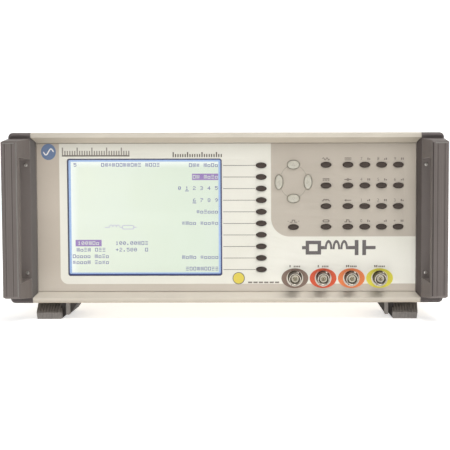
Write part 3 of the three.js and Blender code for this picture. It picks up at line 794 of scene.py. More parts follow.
# screws: a pan head with a cross recess, made once and used for every visible fastener
def screw_mesh(name, r, h):
    me = turned_mesh(name, [(0, -h), (r * 0.55, -h * 0.97), (r * 0.85, -h * 0.78), (r, -h * 0.4), (r, 0), (r * 0.6, 0.05), (0, 0.05)], 28)
    o = link(bpy.data.objects.new(name + "_tmp", me))
    bm = bmesh.new()
    for w, l in ((0.16 * r, 0.62 * r), (0.62 * r, 0.16 * r)):
        v = []
        for y, s in ((-h - 0.4, 1.0), (-h * 0.35, 0.55)):
            for sx, sz in ((-1, -1), (1, -1), (1, 1), (-1, 1)):
                v.append(bm.verts.new(Vector((sx * w * s * MM, y * MM, sz * l * s * MM))))
        for f in ((0, 1, 2, 3), (7, 6, 5, 4), (0, 4, 5, 1), (1, 5, 6, 2), (2, 6, 7, 3), (3, 7, 4, 0)):
            bm.faces.new([v[i] for i in f])
    bmesh.ops.recalc_face_normals(bm, faces=bm.faces)
    cm = bpy.data.meshes.new(name + "_cross")
    bm.to_mesh(cm)
    bm.free()
    c = link(bpy.data.objects.new(name + "_cross", cm))
    m = o.modifiers.new("cut", "BOOLEAN")
    m.operation, m.solver, m.object, m.use_self = "DIFFERENCE", "EXACT", c, True
    dg = bpy.context.evaluated_depsgraph_get()
    out = bpy.data.meshes.new_from_object(o.evaluated_get(dg))
    out.name = name
    bpy.data.objects.remove(o)
    bpy.data.objects.remove(c)
    out.shade_smooth()
    out.set_sharp_from_angle(angle=math.radians(30))
    out.materials.clear()
    return out


SCREW = screw_mesh("pan_screw", 1.35, 0.9)
SEAT = turned_mesh("screw_seat", [(0, -0.12), (1.7, -0.12), (2.0, -0.3), (2.25, -0.3), (2.35, 0.0), (2.35, 0.3), (0, 0.3)], 36)
REAR_SCREW = screw_mesh("pan_screw_rear", 2.9, 1.1)
for side, sx in (("left", -1), ("right", 1)):
    lo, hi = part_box(f"handle_{side}")
    face = lo.y / MM - FRONT
    # three thin strips down each grip; the inner one is a painted highlight on the left handle and painted shade on the
    # right, the other two are darker
    for k, (q, w) in enumerate(((156.7, 0.42), (160.1, 0.3), (165.4, 0.3))):
        bead = prism(f"handle_bead_{side}_{k + 1}", [(sx * q - w, 21.0), (sx * q + w, 21.0), (sx * q + w, 137.2), (sx * q - w, 137.2)], face - 0.22, face + 0.5)
        soften(bead, 0.2, 2)
        bake(bead)
        finished(bead, ("bead" if sx < 0 else "bead_deep") if k == 0 else "bead_dark")
    # a light strip along the top of each grip: a painted highlight on its top edge
    lip = prism(f"handle_top_lip_{side}", [(sx * 158.2, 136.4), (sx * 167.4, 136.4), (sx * 167.4, 137.3), (sx * 158.2, 137.3)], face - 0.25, face + 0.5)
    soften(lip, 0.2, 2)
    bake(lip)
    finished(lip, "bead")
    for k, z in enumerate((120.3, 36.7)):
        # a dark seat under each screw: painted shade round the head
        place(f"handle_screw_seat_{side}_{k + 1}", SEAT, sx * 154.2, 0.35, z, "vent_dark")
        place(f"handle_screw_{side}_{k + 1}", SCREW, sx * 154.2, 0.2, z, "steel", rot=(0, math.radians(20 + 50 * k), 0))

# ------------------------------------------------------------------ panel
KEYS = []
for node in sorted(NODES):
    if node.startswith(("softkey_", "keypad_key_", "trigger_key")):
        lo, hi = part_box(node)
        KEYS.append((node, (lo.x + hi.x) / 2 / MM, (lo.z + hi.z) / 2 / MM))
ARROWS = []
for node in sorted(NODES):
    if node.startswith("arrow_key_"):
        lo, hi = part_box(node)
        ARROWS.append((node, (lo.x + hi.x) / 2 / MM, (lo.z + hi.z) / 2 / MM))
JACKS = []
for node in ("jack_low_current", "jack_low_potential", "jack_high_potential", "jack_high_current"):
    lo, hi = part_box(node)
    JACKS.append((node, (lo.x + hi.x) / 2 / MM, (lo.z + hi.z) / 2 / MM))

SKIRT = 0.9


def key_axes(node):
    """Half axes of a key's cap: its box is that of the wider skirt behind the panel."""
    lo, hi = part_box(node)
    a = (hi.x - lo.x) / 2 / MM - SKIRT
    return a, (hi.z - lo.z) / 2 / MM * a / (a + SKIRT)


KEY_A, KEY_B = key_axes("trigger_key")
ARROW_AXES = {node.rsplit("_", 1)[1]: key_axes(node) for node, _, _ in ARROWS}
plo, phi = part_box("front_panel")
px0, px1, pz0, pz1 = plo.x / MM, phi.x / MM, plo.z / MM, phi.z / MM
PT = (phi.y - plo.y) / MM
OPENING = (-123.6, -3.6, 33.75, 125.0)
loops = [[(px0, pz0), (px1, pz0), (px1, pz1), (px0, pz1)], round_rect(*OPENING, 1.8)]
for _, x, z in KEYS:
    loops.append(oval(x, z, KEY_A + 0.3, KEY_B + 0.3, 40))
for node, x, z in ARROWS:
    a, b = ARROW_AXES[node.rsplit("_", 1)[1]]
    loops.append(oval(x, z, a + 0.3, b + 0.3, 48))
for _, x, z in JACKS:
    loops.append(oval(x, z, 5.2, 5.2, 48))
panel = plate("front_panel_plate", loops, PANEL_D, PANEL_D + PT, bevel=0.12)
finished(panel, "panel", replaces="front_panel")
o = OPENING
# a thin dark sheet lining the window opening's side wall: painted shade in the opening, tinted with a painted
# reflection of the screen's blue
opening_shade = plate("display_opening_shade", [round_rect(o[0] + 0.02, o[1] - 0.02, o[2] + 0.02, o[3] - 0.02, 1.8),
                                round_rect(o[0] + 0.45, o[1] - 0.45, o[2] + 0.45, o[3] - 0.45, 1.4)], PANEL_D + 0.25, PANEL_D + PT + 0.2, bevel=0.05)
finished(opening_shade, "opening_shade")

INK = PANEL_D - 0.05          # front of the printed layer

# leader lines from the window to the softkeys
soft = [(x, z) for n, x, z in KEYS if n.startswith("softkey")]
join_prisms("softkey_leader_lines", [[(-2.6, z - 0.19), (22.4, z - 0.19), (22.4, z + 0.19), (-2.6, z + 0.19)] for _, z in soft],
            INK, PANEL_D + 0.02, "ink_line")

# oval line of the arrow cluster, broken at the keys, and a line round each key
ax = {n.rsplit("_", 1)[1]: (x, z) for n, x, z in ARROWS}
cx = (ax["left"][0] + ax["right"][0]) / 2
cz = (ax["up"][1] + ax["down"][1]) / 2
arcs = []
for s, e in ((27, 64), (116, 153), (207, 244), (296, 333)):
    arcs.append(stroke(oval(cx, cz, 10.6, 12.8, 24, s, e), 0.34))
join_prisms("arrow_cluster_line", arcs, INK, PANEL_D + 0.02, "ink_ring")
rings = []
for node, x, z in ARROWS:
    a, b = ARROW_AXES[node.rsplit("_", 1)[1]]
    rings.append((node, x, z, a, b))
for node, x, z, a, b in rings:
    ring = plate(f"{node}_ring", [oval(x, z, a + 0.5, b + 0.5, 64), oval(x, z, a + 0.3, b + 0.3, 64)], INK, PANEL_D + 0.02)
    finished(ring, "ink_ring")

# coloured ovals behind the jacks, each with a pale ring that shows below and beside the jack
OVAL_Z = 31.7
for (node, x, z), ink in zip(JACKS, ("brown", "red", "orange", "yellow")):
    oval_label = plate(f"{node}_colour", [oval(x, OVAL_Z, 10.45, 7.75, 72), oval(x, z, 5.25, 5.25, 64)], INK, PANEL_D + 0.02)
    finished(oval_label, ink)
    R1, R2, cz2 = 6.5, 5.55, z + 0.55
    gap = cz2 - OVAL_Z
    up = min(R1 * 0.98, (R1 * R1 - R2 * R2 + gap * gap) / (2 * gap))          # where the two circles meet
    a1 = math.degrees(math.asin(up / R1))
    a2 = math.degrees(math.asin(max(-1.0, min(1.0, (up - gap) / R2))))
    outer = oval(x, OVAL_Z, R1, R1, 48, 180 - a1, 360 + a1)
    inner = oval(x, cz2, R2, R2, 48, 360 + a2, 180 - a2)
    finished(prism(f"{node}_pale_ring", outer + inner, INK - 0.05, PANEL_D), "washer")

# ------------------------------------------------------------------ keys
front = PANEL_D - 1.3
key_mesh = turned_mesh("oval_key", [
    (0, front), (KEY_A * 0.35, front + 0.02), (KEY_A * 0.65, front + 0.09), (KEY_A * 0.84, front + 0.22),
    (KEY_A * 0.94, front + 0.42), (KEY_A, front + 0.8), (KEY_A, PANEL_D + PT + 0.3), (KEY_A + 0.9, PANEL_D + PT + 0.3),
    (KEY_A + 0.9, 12.0), (0, 12.0)], 48, KEY_B / KEY_A)
for node, x, z in KEYS:
    place(f"{node}_cap", key_mesh, x, 0, z, "key", body=f"{node}_body", replaces=node)

chevrons = {"up": 0, "down": 180, "left": 90, "right": -90}
for node, x, z in ARROWS:
    way = node.rsplit("_", 1)[1]
    a, b = ARROW_AXES[way]
    f = PANEL_D - 1.6
    me = turned_mesh(f"{node}_solid", [
        (0, f), (a * 0.35, f + 0.03), (a * 0.62, f + 0.12), (a * 0.82, f + 0.32), (a * 0.93, f + 0.58), (a * 0.985, f + 0.95),
        (a, f + 1.4), (a, PANEL_D + PT + 0.3), (a + 0.9, PANEL_D + PT + 0.3), (a + 0.9, 12.0), (0, 12.0)], 56, b / a)
    place(f"{node}_cap", me, x, 0, z, "arrow", body=f"{node}_body", replaces=node)
    t = math.radians(chevrons[way])
    loops = []
    for grow in (1.0, 0.62):
        tri = [(-1.5 * grow, -0.8 * grow), (1.5 * grow, -0.8 * grow), (0, 1.15 * grow)]
        loops.append([(x + p * math.cos(t) - q * math.sin(t), z + p * math.sin(t) + q * math.cos(t)) for p, q in tri])
    mark = plate(f"{node}_mark", loops, f - 0.03, f + 0.12)
    finished(mark, "ink_arrow", body=f"{node}_body")

# ------------------------------------------------------------------ jacks
J = {
    "nut": turned_mesh("jack_nut", [(4.86, 3.2), (5.3, 3.2), (5.5, 3.4), (5.5, 4.7), (4.86, 4.7), (4.86, 3.2)], 48),
    "barrel": turned_mesh("jack_barrel", [
        (4.05, 1.5), (4.05, -6.6), (4.3, -7.0), (4.5, -7.1), (4.72, -6.98), (4.85, -6.7), (4.85, -5.4), (4.72, -5.25), (4.72, -4.6),
        (4.85, -4.45), (4.85, 0.6), (4.7, 0.75), (4.85, 0.95), (4.7, 1.15), (4.85, 1.35), (4.7, 1.55), (4.85, 1.75), (4.7, 1.95),
        (4.85, 2.15), (4.85, 17.0), (0, 17.0), (0, 1.5), (4.05, 1.5)], 64),
    "rim": turned_mesh("jack_rim", [(3.66, -6.4), (3.8, -6.9), (4.0, -7.12), (4.28, -7.2), (4.5, -7.14), (4.3, -6.9), (4.06, -6.5), (4.04, -1.0), (3.66, -1.0), (3.66, -6.4)], 64),
    "insulator": turned_mesh("jack_insulator_core", [(1.6, 1.48), (1.6, -4.3), (1.75, -4.6), (2.7, -4.6), (2.9, -4.4), (2.9, 1.48), (1.6, 1.48)], 48),
    "contact": turned_mesh("jack_contact", [(0.55, 1.47), (0.55, -4.9), (0.7, -5.3), (0.95, -5.4), (1.15, -5.1), (1.15, 1.47), (0.55, 1.47)], 32),
    "lug": turned_mesh("jack_lug", [(0, -0.95), (0.75, -0.95), (0.95, -0.75), (0.95, 0.6), (0, 0.6)], 24),
}
# the sprung contact is slotted: a tube with a gap cut down one side
slotted = link(bpy.data.objects.new("jack_contact_tmp", J["contact"]))
cutter = boxes("jack_contact_slot", [(-0.26, 0.26, -6.0 - FRONT, -2.6 - FRONT, -1.6, 1.6)])
cut(slotted, [cutter])
J["contact"] = slotted.data
bpy.data.objects.remove(slotted)

for node, x, z in JACKS:
    place(f"{node}_barrel", J["barrel"], x, 0, z, "jack_dark", replaces=node)
    place(f"{node}_rim", J["rim"], x, 0, z, "nickel")
    place(f"{node}_nut", J["nut"], x, 0, z, "jack_dark")
    place(f"{node}_insulator", J["insulator"], x, 0, z, "ptfe")
    place(f"{node}_contact", J["contact"], x, 0, z, "brass")
    for k, a in enumerate((65, 245)):
        t = math.radians(a)
        lug = place(f"{node}_lug_{k + 1}", J["lug"], x + 5.0 * math.cos(t), -3.2, z + 5.0 * math.sin(t), "nickel")
        lug.rotation_mode = "QUATERNION"
        lug.rotation_quaternion = Vector((0, -1, 0)).rotation_difference(Vector((math.cos(t), 0, math.sin(t))))

# ------------------------------------------------------------------ display
LCD_D = 9.96
win = copy_node("display_window", "display_window_glass")
soften(win, 0.2, 2)
bake(win)
finished(win, "window", replaces="display_window")
module = copy_node("lcd_module", "lcd_module_body")
soften(module, 0.4, 2)
bake(module)
finished(module, "module", replaces="lcd_module")
S = SCREEN
finished(prism("screen_field", [(S["x0"], S["z0"]), (S["x1"], S["z0"]), (S["x1"], S["z1"]), (S["x0"], S["z1"])], LCD_D, 10.08),
         "screen")
EDGE = (S["x0"] - 1.75, S["x1"] + 1.5, S["z0"] - 1.0, S["z1"] + 1.35)
finished(plate("screen_edge", [round_rect(*EDGE, 1.0),
                               [(S["x0"], S["z0"]), (S["x1"], S["z0"]), (S["x1"], S["z1"]), (S["x0"], S["z1"])]], LCD_D, 10.08),
         "screen_edge")
finished(plate("screen_rim", [[(-126, 31.5), (-1.5, 31.5), (-1.5, 127.2), (-126, 127.2)], round_rect(*EDGE, 1.0)], LCD_D, 10.08),
         "screen_rim")

# Characters on the display: 8 by 13.5 dots of 0.36 mm, numerals and plain bars only.
DOT = (S["x1"] - S["x0"]) / 320.0
GLYPH = {
    "0": ["01110", "10001", "10011", "10101", "11001", "10001", "01110"],
    "1": ["00100", "01100", "00100", "00100", "00100", "00100", "01110"],
    "2": ["01110", "10001", "00001", "00110", "01000", "10000", "11111"],
    "3": ["11110", "00001", "00001", "01110", "00001", "00001", "11110"],
    "4": ["00010", "00110", "01010", "10010", "11111", "00010", "00010"],
    "5": ["11111", "10000", "11110", "00001", "00001", "10001", "01110"],
    "6": ["00110", "01000", "10000", "11110", "10001", "10001", "01110"],
    "7": ["11111", "00001", "00010", "00100", "01000", "01000", "01000"],
    "8": ["01110", "10001", "10001", "01110", "10001", "10001", "01110"],
    "9": ["01110", "10001", "10001", "01111", "00001", "00010", "01100"],
    ".": ["00000", "00000", "00000", "00000", "00000", "01100", "01100"],
    "+": ["00000", "00100", "00100", "11111", "00100", "00100", "00000"],
    "a": ["00000", "11111", "00000", "11111", "00000", "11111", "00000"],
    "b": ["11111", "10001", "10001", "10001", "10001", "10001", "11111"],
    "c": ["11111", "00000", "00000", "11111", "00000", "00000", "11111"],
    "d": ["10101", "10101", "10101", "10101", "10101", "10101", "10101"],
    "e": ["00000", "00000", "11111", "10001", "10001", "10001", "11111"],
    "_": ["00000", "00000", "00000", "00000", "00000", "00000", "00000"],
}


def screen_text(bm, text, x, z, width=5):
    """Dots for a line of characters, x the left edge and z the middle, in millimetres."""
    for k, ch in enumerate(text):
        if ch == " ":
            continue
        rows = GLYPH[ch]
        for r, row in enumerate(rows):
            c = 0
            while c < 5:
                if row[c] == "1":
                    e = c
                    while e < 5 and row[e] == "1":
                        e += 1
                    x0 = x + (k * 8 + 1 + c * 1.2) * DOT
                    x1 = x + (k * 8 + 1 + e * 1.2) * DOT
                    z1 = z + (3.9 - r * 1.1) * DOT
                    prism_into(bm, [(x0, z1 - 1.05 * DOT), (x1, z1 - 1.05 * DOT), (x1, z1), (x0, z1)], LCD_D - 0.05, LCD_D + 0.01)
                    c = e
                else:
                    c += 1


CH = 8 * DOT
RIGHT = S["x1"] - 0.2
LEFT = S["x0"] + 0.4
bm = bmesh.new()
screen_text(bm, "5", LEFT + 1.5, 120.1)
screen_text(bm, "bdadbbddbdc dbbc", LEFT + 8.0 * CH, 120.1)
screen_text(bm, "bda debe", RIGHT - 8 * CH, 119.8)
screen_text(bm, "0 1 2 3 4 5", RIGHT - 11 * CH, 101.9)
screen_text(bm, "6 7 8 9", RIGHT - 7 * CH, 92.5)
screen_text(bm, "aeceee", RIGHT - 6 * CH, 83.5)
screen_text(bm, "adee aeeae", RIGHT - 10 * CH, 74.6)
screen_text(bm, "dede aeeee", RIGHT - 10 * CH, 47.9)
screen_text(bm, "cbbddbbcc", RIGHT - 9 * CH, 38.8)
screen_text(bm, "decd bcc", LEFT + 1.1 * CH, 53.8)
screen_text(bm, "beeee dece", LEFT, 48.7)
screen_text(bm, "aeeed ceae", LEFT, 44.0)
screen_text(bm, "100.00dbc", LEFT + 11.7 * CH, 59.0)
screen_text(bm, "+2.500  b", LEFT + 11.7 * CH, 53.8)
for x, z in ((RIGHT - 9 * CH, 101.9), (RIGHT - 7 * CH, 92.5)):
    prism_into(bm, [(x, z - 2.4), (x + CH, z - 2.4), (x + CH, z - 1.9), (x, z - 1.9)], LCD_D - 0.05, LCD_D + 0.01)
finished(from_bmesh(bm, "screen_characters"), "screen_ink")

# two highlighted fields with cut-out characters
bm = bmesh.new()
hx0, hx1, hz = RIGHT - 7.1 * CH, S["x1"] - 0.15, 110.7
prism_into(bm, [(hx0, hz - 2.5), (hx1, hz - 2.5), (hx1, hz + 2.5), (hx0, hz + 2.5)], LCD_D - 0.03, LCD_D + 0.01)
kx0 = -118.5
prism_into(bm, [(kx0, 56.5), (-98.1, 56.5), (-98.1, 61.6), (kx0, 61.6)], LCD_D - 0.03, LCD_D + 0.01)
finished(from_bmesh(bm, "screen_highlights"), "screen_bar")
bm = bmesh.new()
screen_text(bm, "bd dece", RIGHT - 7 * CH, hz)
screen_text(bm, "100dbe", kx0 + 0.5 * CH, 59.0)
finished(from_bmesh(bm, "screen_highlight_characters"), "screen")

# series circuit symbol: line, coil, line, resistor, line
bm = bmesh.new()
zc = 71.4
x0 = S["x0"] + 26.1
w = 0.42
shapes = [stroke([(x0, zc), (x0 + 3.6, zc)], w)]
for k in range(3):
    shapes.append(stroke(oval(x0 + 4.9 + k * 2.7, zc, 1.35, 1.9, 14, 180, 0), w))
shapes.append(stroke([(x0 + 11.7, zc), (x0 + 13.6, zc)], w))
shapes.append(stroke([(x0 + 22.6, zc), (x0 + 24.8, zc)], w))
for pts in shapes:
    prism_into(bm, pts, LCD_D - 0.05, LCD_D + 0.01)
finished(from_bmesh(bm, "screen_circuit_symbol"), "screen_ink_faint")
finished(plate("screen_circuit_resistor", [round_rect(x0 + 13.4, x0 + 22.8, zc - 1.6, zc + 1.6, 1.2), round_rect(x0 + 13.9, x0 + 22.3, zc - 1.15, zc + 1.15, 0.8)],
               LCD_D - 0.05, LCD_D + 0.01), "screen_ink_faint")

# ------------------------------------------------------------------ printed marks
# plain round badge with a sine wave, two plain stripes in place of words, component symbols in place of numerals
finished(prism("badge_disc", oval(-137.7, 130.3, 5.75, 6.25, 64), INK, PANEL_D + 0.02), "badge")
wave = [(-137.7 + t, 130.3 + 2.3 * math.sin(t / 3.9 * math.pi)) for t in [i * 0.26 - 3.9 for i in range(31)]]
finished(prism("badge_wave", stroke(wave, 0.9), INK - 0.05, PANEL_D), "badge_white")
marks = []
for i in range(28):
    x = -127.3 + i * 1.9
    tall = 6.4 if i % 6 == 0 else 3.9
    marks.append([(x, 127.2), (x + 0.95, 127.2), (x + 0.95, 127.2 + tall), (x, 127.2 + tall)])
marks.append([(-127.3, 126.6), (-75.05, 126.6), (-75.05, 127.8), (-127.3, 127.8)])
join_prisms("scale_strip_long", marks, INK, PANEL_D + 0.02, "ink_mark")
marks = []
for i in range(21):
    x = -41.6 + i * 1.86
    tall = 3.9 if i % 6 == 0 else 2.4
    marks.append([(x, 126.1), (x + 0.9, 126.1), (x + 0.9, 126.1 + tall), (x, 126.1 + tall)])
join_prisms("scale_strip_short", marks, INK, PANEL_D + 0.02, "ink_dark")

# component symbols: resistor box, coil, capacitor; heavy grey strokes
zc, w = 55.6, 2.5
SYM0 = 58.6
sym = [[(SYM0 + a, zc - w / 2), (SYM0 + b, zc - w / 2), (SYM0 + b, zc + w / 2), (SYM0 + a, zc + w / 2)]
       for a, b in ((0.0, 2.8), (14.8, 17.6), (35.8, 41.0), (49.8, 57.2))]
for k in range(3):
    c = SYM0 + 20.6 + k * 6.1
    sym.append(oval(c, zc - w / 2, 3.0, 7.2, 22, 180, 0) + oval(c, zc - w / 2, 1.35, 5.0, 22, 0, 180))
for a in (41.0, 46.9):
    sym.append([(SYM0 + a, zc - 5.9), (SYM0 + a + 2.9, zc - 5.9), (SYM0 + a + 2.9, zc + 5.9), (SYM0 + a, zc + 5.9)])
join_prisms("component_symbols", sym, INK, PANEL_D + 0.02, "ink")
finished(plate("component_symbol_box", [[(SYM0 + 2.8, zc - 5.4), (SYM0 + 14.8, zc - 5.4), (SYM0 + 14.8, zc + 5.4), (SYM0 + 2.8, zc + 5.4)],
                                        [(SYM0 + 5.5, zc - 2.7), (SYM0 + 12.1, zc - 2.7), (SYM0 + 12.1, zc + 2.7), (SYM0 + 5.5, zc + 2.7)]], INK, PANEL_D + 0.02),
         "ink")
finished(plate("label_dot_ring", [oval(9.2, 31.8, 4.75, 4.75, 48), oval(9.2, 31.8, 4.2, 4.2, 48)], INK, PANEL_D + 0.02), "ink")
finished(prism("label_dot", oval(9.2, 31.8, 4.25, 4.25, 48), INK, PANEL_D + 0.02), "dot_yellow")
join_prisms("label_bars", [[(16.5 + 4.2 * i, 27.9), (19.7 + 4.2 * i, 27.9), (19.7 + 4.2 * i, 29.1), (16.5 + 4.2 * i, 29.1)] for i in range(6)],
            INK, PANEL_D + 0.02, "ink_soft")

# legends: numerals over the number keys, short bars over the others
pad = {n: (x, z) for n, x, z in KEYS if n.startswith("keypad")}
order = [pad[n] for n in sorted(pad)]
nums = {2: "7", 3: "8", 4: "9", 7: "4", 8: "5", 9: "6", 12: "1", 13: "2", 14: "3", 17: "0", 18: ".", 19: "+"}
digits("keypad_numerals", [(nums[i], order[i][0] - 2.7, order[i][1] + 4.6) for i in nums], 3.4, PANEL_D, 0.05, "ink_soft")


def icon(kind, x, z):
    """Strokes of a small plain symbol about 6 by 2 mm, centred at x, z."""
    w = 0.62
    if kind == "wave":
        return [stroke([(x + q, z + 0.85 * math.sin(q / 2.8 * 2 * math.pi)) for q in [i * 0.2 - 2.8 for i in range(29)]], w)]
    if kind == "steady":
        return [stroke([(x - 2.6, z + 0.55), (x + 2.6, z + 0.55)], w)] + [stroke([(x - 2.6 + k * 1.9, z - 0.5), (x - 1.2 + k * 1.9, z - 0.5)], w) for k in range(3)]
    if kind == "box":
        return [stroke([(x - 3, z), (x - 1.9, z)], w), stroke([(x + 1.9, z), (x + 3, z)], w), stroke([(x - 1.9, z + 0.8), (x + 1.9, z + 0.8)], w),
                stroke([(x - 1.9, z - 0.8), (x + 1.9, z - 0.8)], w), stroke([(x - 1.9, z - 1), (x - 1.9, z + 1)], w), stroke([(x + 1.9, z - 1), (x + 1.9, z + 1)], w)]
    if kind == "plates":
        return [stroke([(x - 2.8, z), (x - 0.5, z)], w), stroke([(x + 0.5, z), (x + 2.8, z)], w), stroke([(x - 0.5, z - 1.1), (x - 0.5, z + 1.1)], w),
                stroke([(x + 0.5, z - 1.1), (x + 0.5, z + 1.1)], w)]
    if kind == "coil":
        return [stroke([(x - 3.2, z - 0.5), (x - 2.1, z - 0.5)], w), stroke([(x + 2.1, z - 0.5), (x + 3.2, z - 0.5)], w)] + [
            stroke(oval(x - 1.4 + k * 1.4, z - 0.5, 0.7, 1.3, 10, 180, 0), w) for k in range(3)]
    if kind == "list":
        return [stroke([(x - 2.6, z + q), (x + 2.6, z + q)], 0.36) for q in (0.85, 0.0, -0.85)]
    if kind == "step":
        return [stroke([(x - 2.8, z - 0.8), (x - 1, z - 0.8)], w), stroke([(x - 1, z - 1), (x - 1, z + 1)], w), stroke([(x - 1.2, z + 0.8), (x + 1, z + 0.8)], w),
                stroke([(x + 1, z + 1), (x + 1, z - 1)], w), stroke([(x + 0.8, z - 0.8), (x + 2.8, z - 0.8)], w)]
    if kind == "back":
        return [stroke([(x - 2.2, z), (x + 2.6, z)], w), [(x - 2.9, z), (x - 1.3, z + 0.95), (x - 1.3, z - 0.95)]]
    return [stroke([(x - 2.4, z), (x + 2.4, z)], w)]


bars = []
words = {0: "wave", 1: "list", 5: "steady", 6: "plates", 10: "coil", 11: "back", 15: "box", 16: "step"}
for i, (x, z) in enumerate(order):
    if i in nums:
        for k in range(2):
            q = x + 1.9 + k * 1.3
            tall = 1.7 if (i + k) % 3 else 1.1
            bars.append([(q, z + 3.8), (q + 0.9, z + 3.8), (q + 0.9, z + 3.8 + tall), (q, z + 3.8 + tall)])
    else:
        bars += icon(words.get(i, "list"), x, z + 4.6)
tx, tz = [(x, z) for n, x, z in KEYS if n == "trigger_key"][0]
bars += icon("step", tx, tz + 4.6)
bars += [stroke([(tx - 4.6, tz + 4.6), (tx - 3.6, tz + 4.6)], 0.42), stroke([(tx + 3.6, tz + 4.6), (tx + 4.6, tz + 4.6)], 0.42)]
for k, (_, x, z) in enumerate(JACKS):
    bars.append([(x - 4.2, 40.3), (x - 3.3, 40.3), (x - 3.3, 42.0), (x - 4.2, 42.0)])
    if k > 1:
        bars.append([(x - 2.6, 40.3), (x - 1.7, 40.3), (x - 1.7, 42.0), (x - 2.6, 42.0)])
        bars.append([(x - 3.5, 40.9), (x - 2.5, 40.9), (x - 2.5, 41.4), (x - 3.5, 41.4)])
    for q in range(4):
        bars.append([(x - 0.9 + q * 1.35, 40.3), (x + 0.05 + q * 1.35, 40.3), (x + 0.05 + q * 1.35, 41.5), (x - 0.9 + q * 1.35, 41.5)])
join_prisms("legend_marks", bars, INK, PANEL_D + 0.02, "ink_soft")

# ------------------------------------------------------------------ covers and rear
def sound(obj):
    """True when every face of the mesh is drawn with its own area, so none folds over itself."""
    me = obj.data
    me.calc_loop_triangles()
    drawn = {}
    for t in me.loop_triangles:
        drawn[t.polygon_index] = drawn.get(t.polygon_index, 0.0) + t.area
    return all(abs(drawn.get(f.index, 0.0) - f.area) < max(5e-8, 0.01 * f.area) for f in me.polygons)


def folded_sheet(name, outer, inner, ds, is_open):
    """A sheet that follows a folded section in X and Z along the depths ds, with rectangular openings."""
    bm = bmesh.new()
    a = [[bm.verts.new(P(x, d, z)) for d in ds] for x, z in outer]
    b = [[bm.verts.new(P(x, d, z)) for d in ds] for x, z in inner]
    n, m = len(outer) - 1, len(ds) - 1

    def solid(i, j):
        return 0 <= i < n and 0 <= j < m and not is_open(i, j)

    for i in range(n):
        for j in range(m):
            if not solid(i, j):
                continue
            bm.faces.new([a[i][j], a[i + 1][j], a[i + 1][j + 1], a[i][j + 1]])
            bm.faces.new([b[i][j + 1], b[i + 1][j + 1], b[i + 1][j], b[i][j]])
            for di, dj, p, q in ((-1, 0, (0, 0), (0, 1)), (1, 0, (1, 1), (1, 0)), (0, -1, (1, 0), (0, 0)), (0, 1, (0, 1), (1, 1))):
                if not solid(i + di, j + dj):
                    u, v = (i + p[0], j + p[1]), (i + q[0], j + q[1])
                    bm.faces.new([a[u[0]][u[1]], a[v[0]][v[1]], b[v[0]][v[1]], b[u[0]][u[1]]])
    used = [v for v in bm.verts if not v.link_faces]
    bmesh.ops.delete(bm, geom=used, context="VERTS")
    return from_bmesh(bm, name)


def cover_section(half, top, r):
    right = [(half, 14.8), (half, 45.0), (half, 115.0)]
    right += [(half - r + r * math.cos(math.radians(t)), top - r + r * math.sin(math.radians(t))) for t in range(0, 91, 10)]
    return right + [(-x, z) for x, z in reversed(right)]


VENT_D = [190.0 + 8 * k for k in range(12)]
cover_ds = [16.3] + sorted(VENT_D + [d + 3.0 for d in VENT_D]) + [317.0]
section_out, section_in = cover_section(166.5, 144.1, 3.0), cover_section(165.3, 142.9, 1.8)
last = len(section_out) - 2
cover = folded_sheet("top_cover_shell", section_out, section_in, cover_ds,
                     lambda i, j: i in (1, last - 1) and j % 2 == 1)
soften(cover, 0.25, 2, 28)
bake(cover)
finished(cover, "cover", replaces="top_cover")

rear_loops = [[(-164.6, 14.8), (164.6, 14.8), (164.6, 140.8), (163.0, 142.4), (-163.0, 142.4), (-164.6, 140.8)],
              [(112.6, 40.6), (112.6, 103.4), (141.4, 103.4), (141.4, 40.6)]]
rear_loops += [round_rect(-150, -95, 62.0 + 6 * k, 65.0 + 6 * k, 1.45, 5) for k in range(9)]
rear = plate("rear_panel_sheet", rear_loops, 308.0, 309.5, 0.2, 2)
finished(rear, "rear", replaces="rear_panel")

for k, (x, z) in enumerate(((-157, 22), (0, 22), (157, 22), (-157, 135), (0, 135), (157, 135))):
    place(f"rear_screw_{k + 1}", REAR_SCREW, x, 309.5, z, "nickel", rot=(0, math.radians(25 * k), math.pi))
for side, sx in (("left", -1), ("right", 1)):
    for k, (d, z) in enumerate(((40, 22), (165, 22), (300, 22), (40, 128), (300, 128))):
        place(f"cover_screw_{side}_{k + 1}", REAR_SCREW, sx * 166.5, d, z, "nickel", rot=(0, math.radians(15 + 35 * k), sx * math.pi / 2))
rating = plate("rating_plate", [round_rect(-62, 6, 92, 126, 2.0, 6)], 309.52, 309.82, 0.1, 1)
finished(rating, "rating")
for k, (z0, z1) in enumerate(((120.0, 120.5), (113.0, 113.35), (106.5, 106.85), (100.0, 100.35))):
    rule = prism(f"rating_rule_{k + 1}", [(-57, z0), (1, z0), (1, z1), (-57, z1)], 309.7, 309.9)
    finished(rule, "ink_soft")

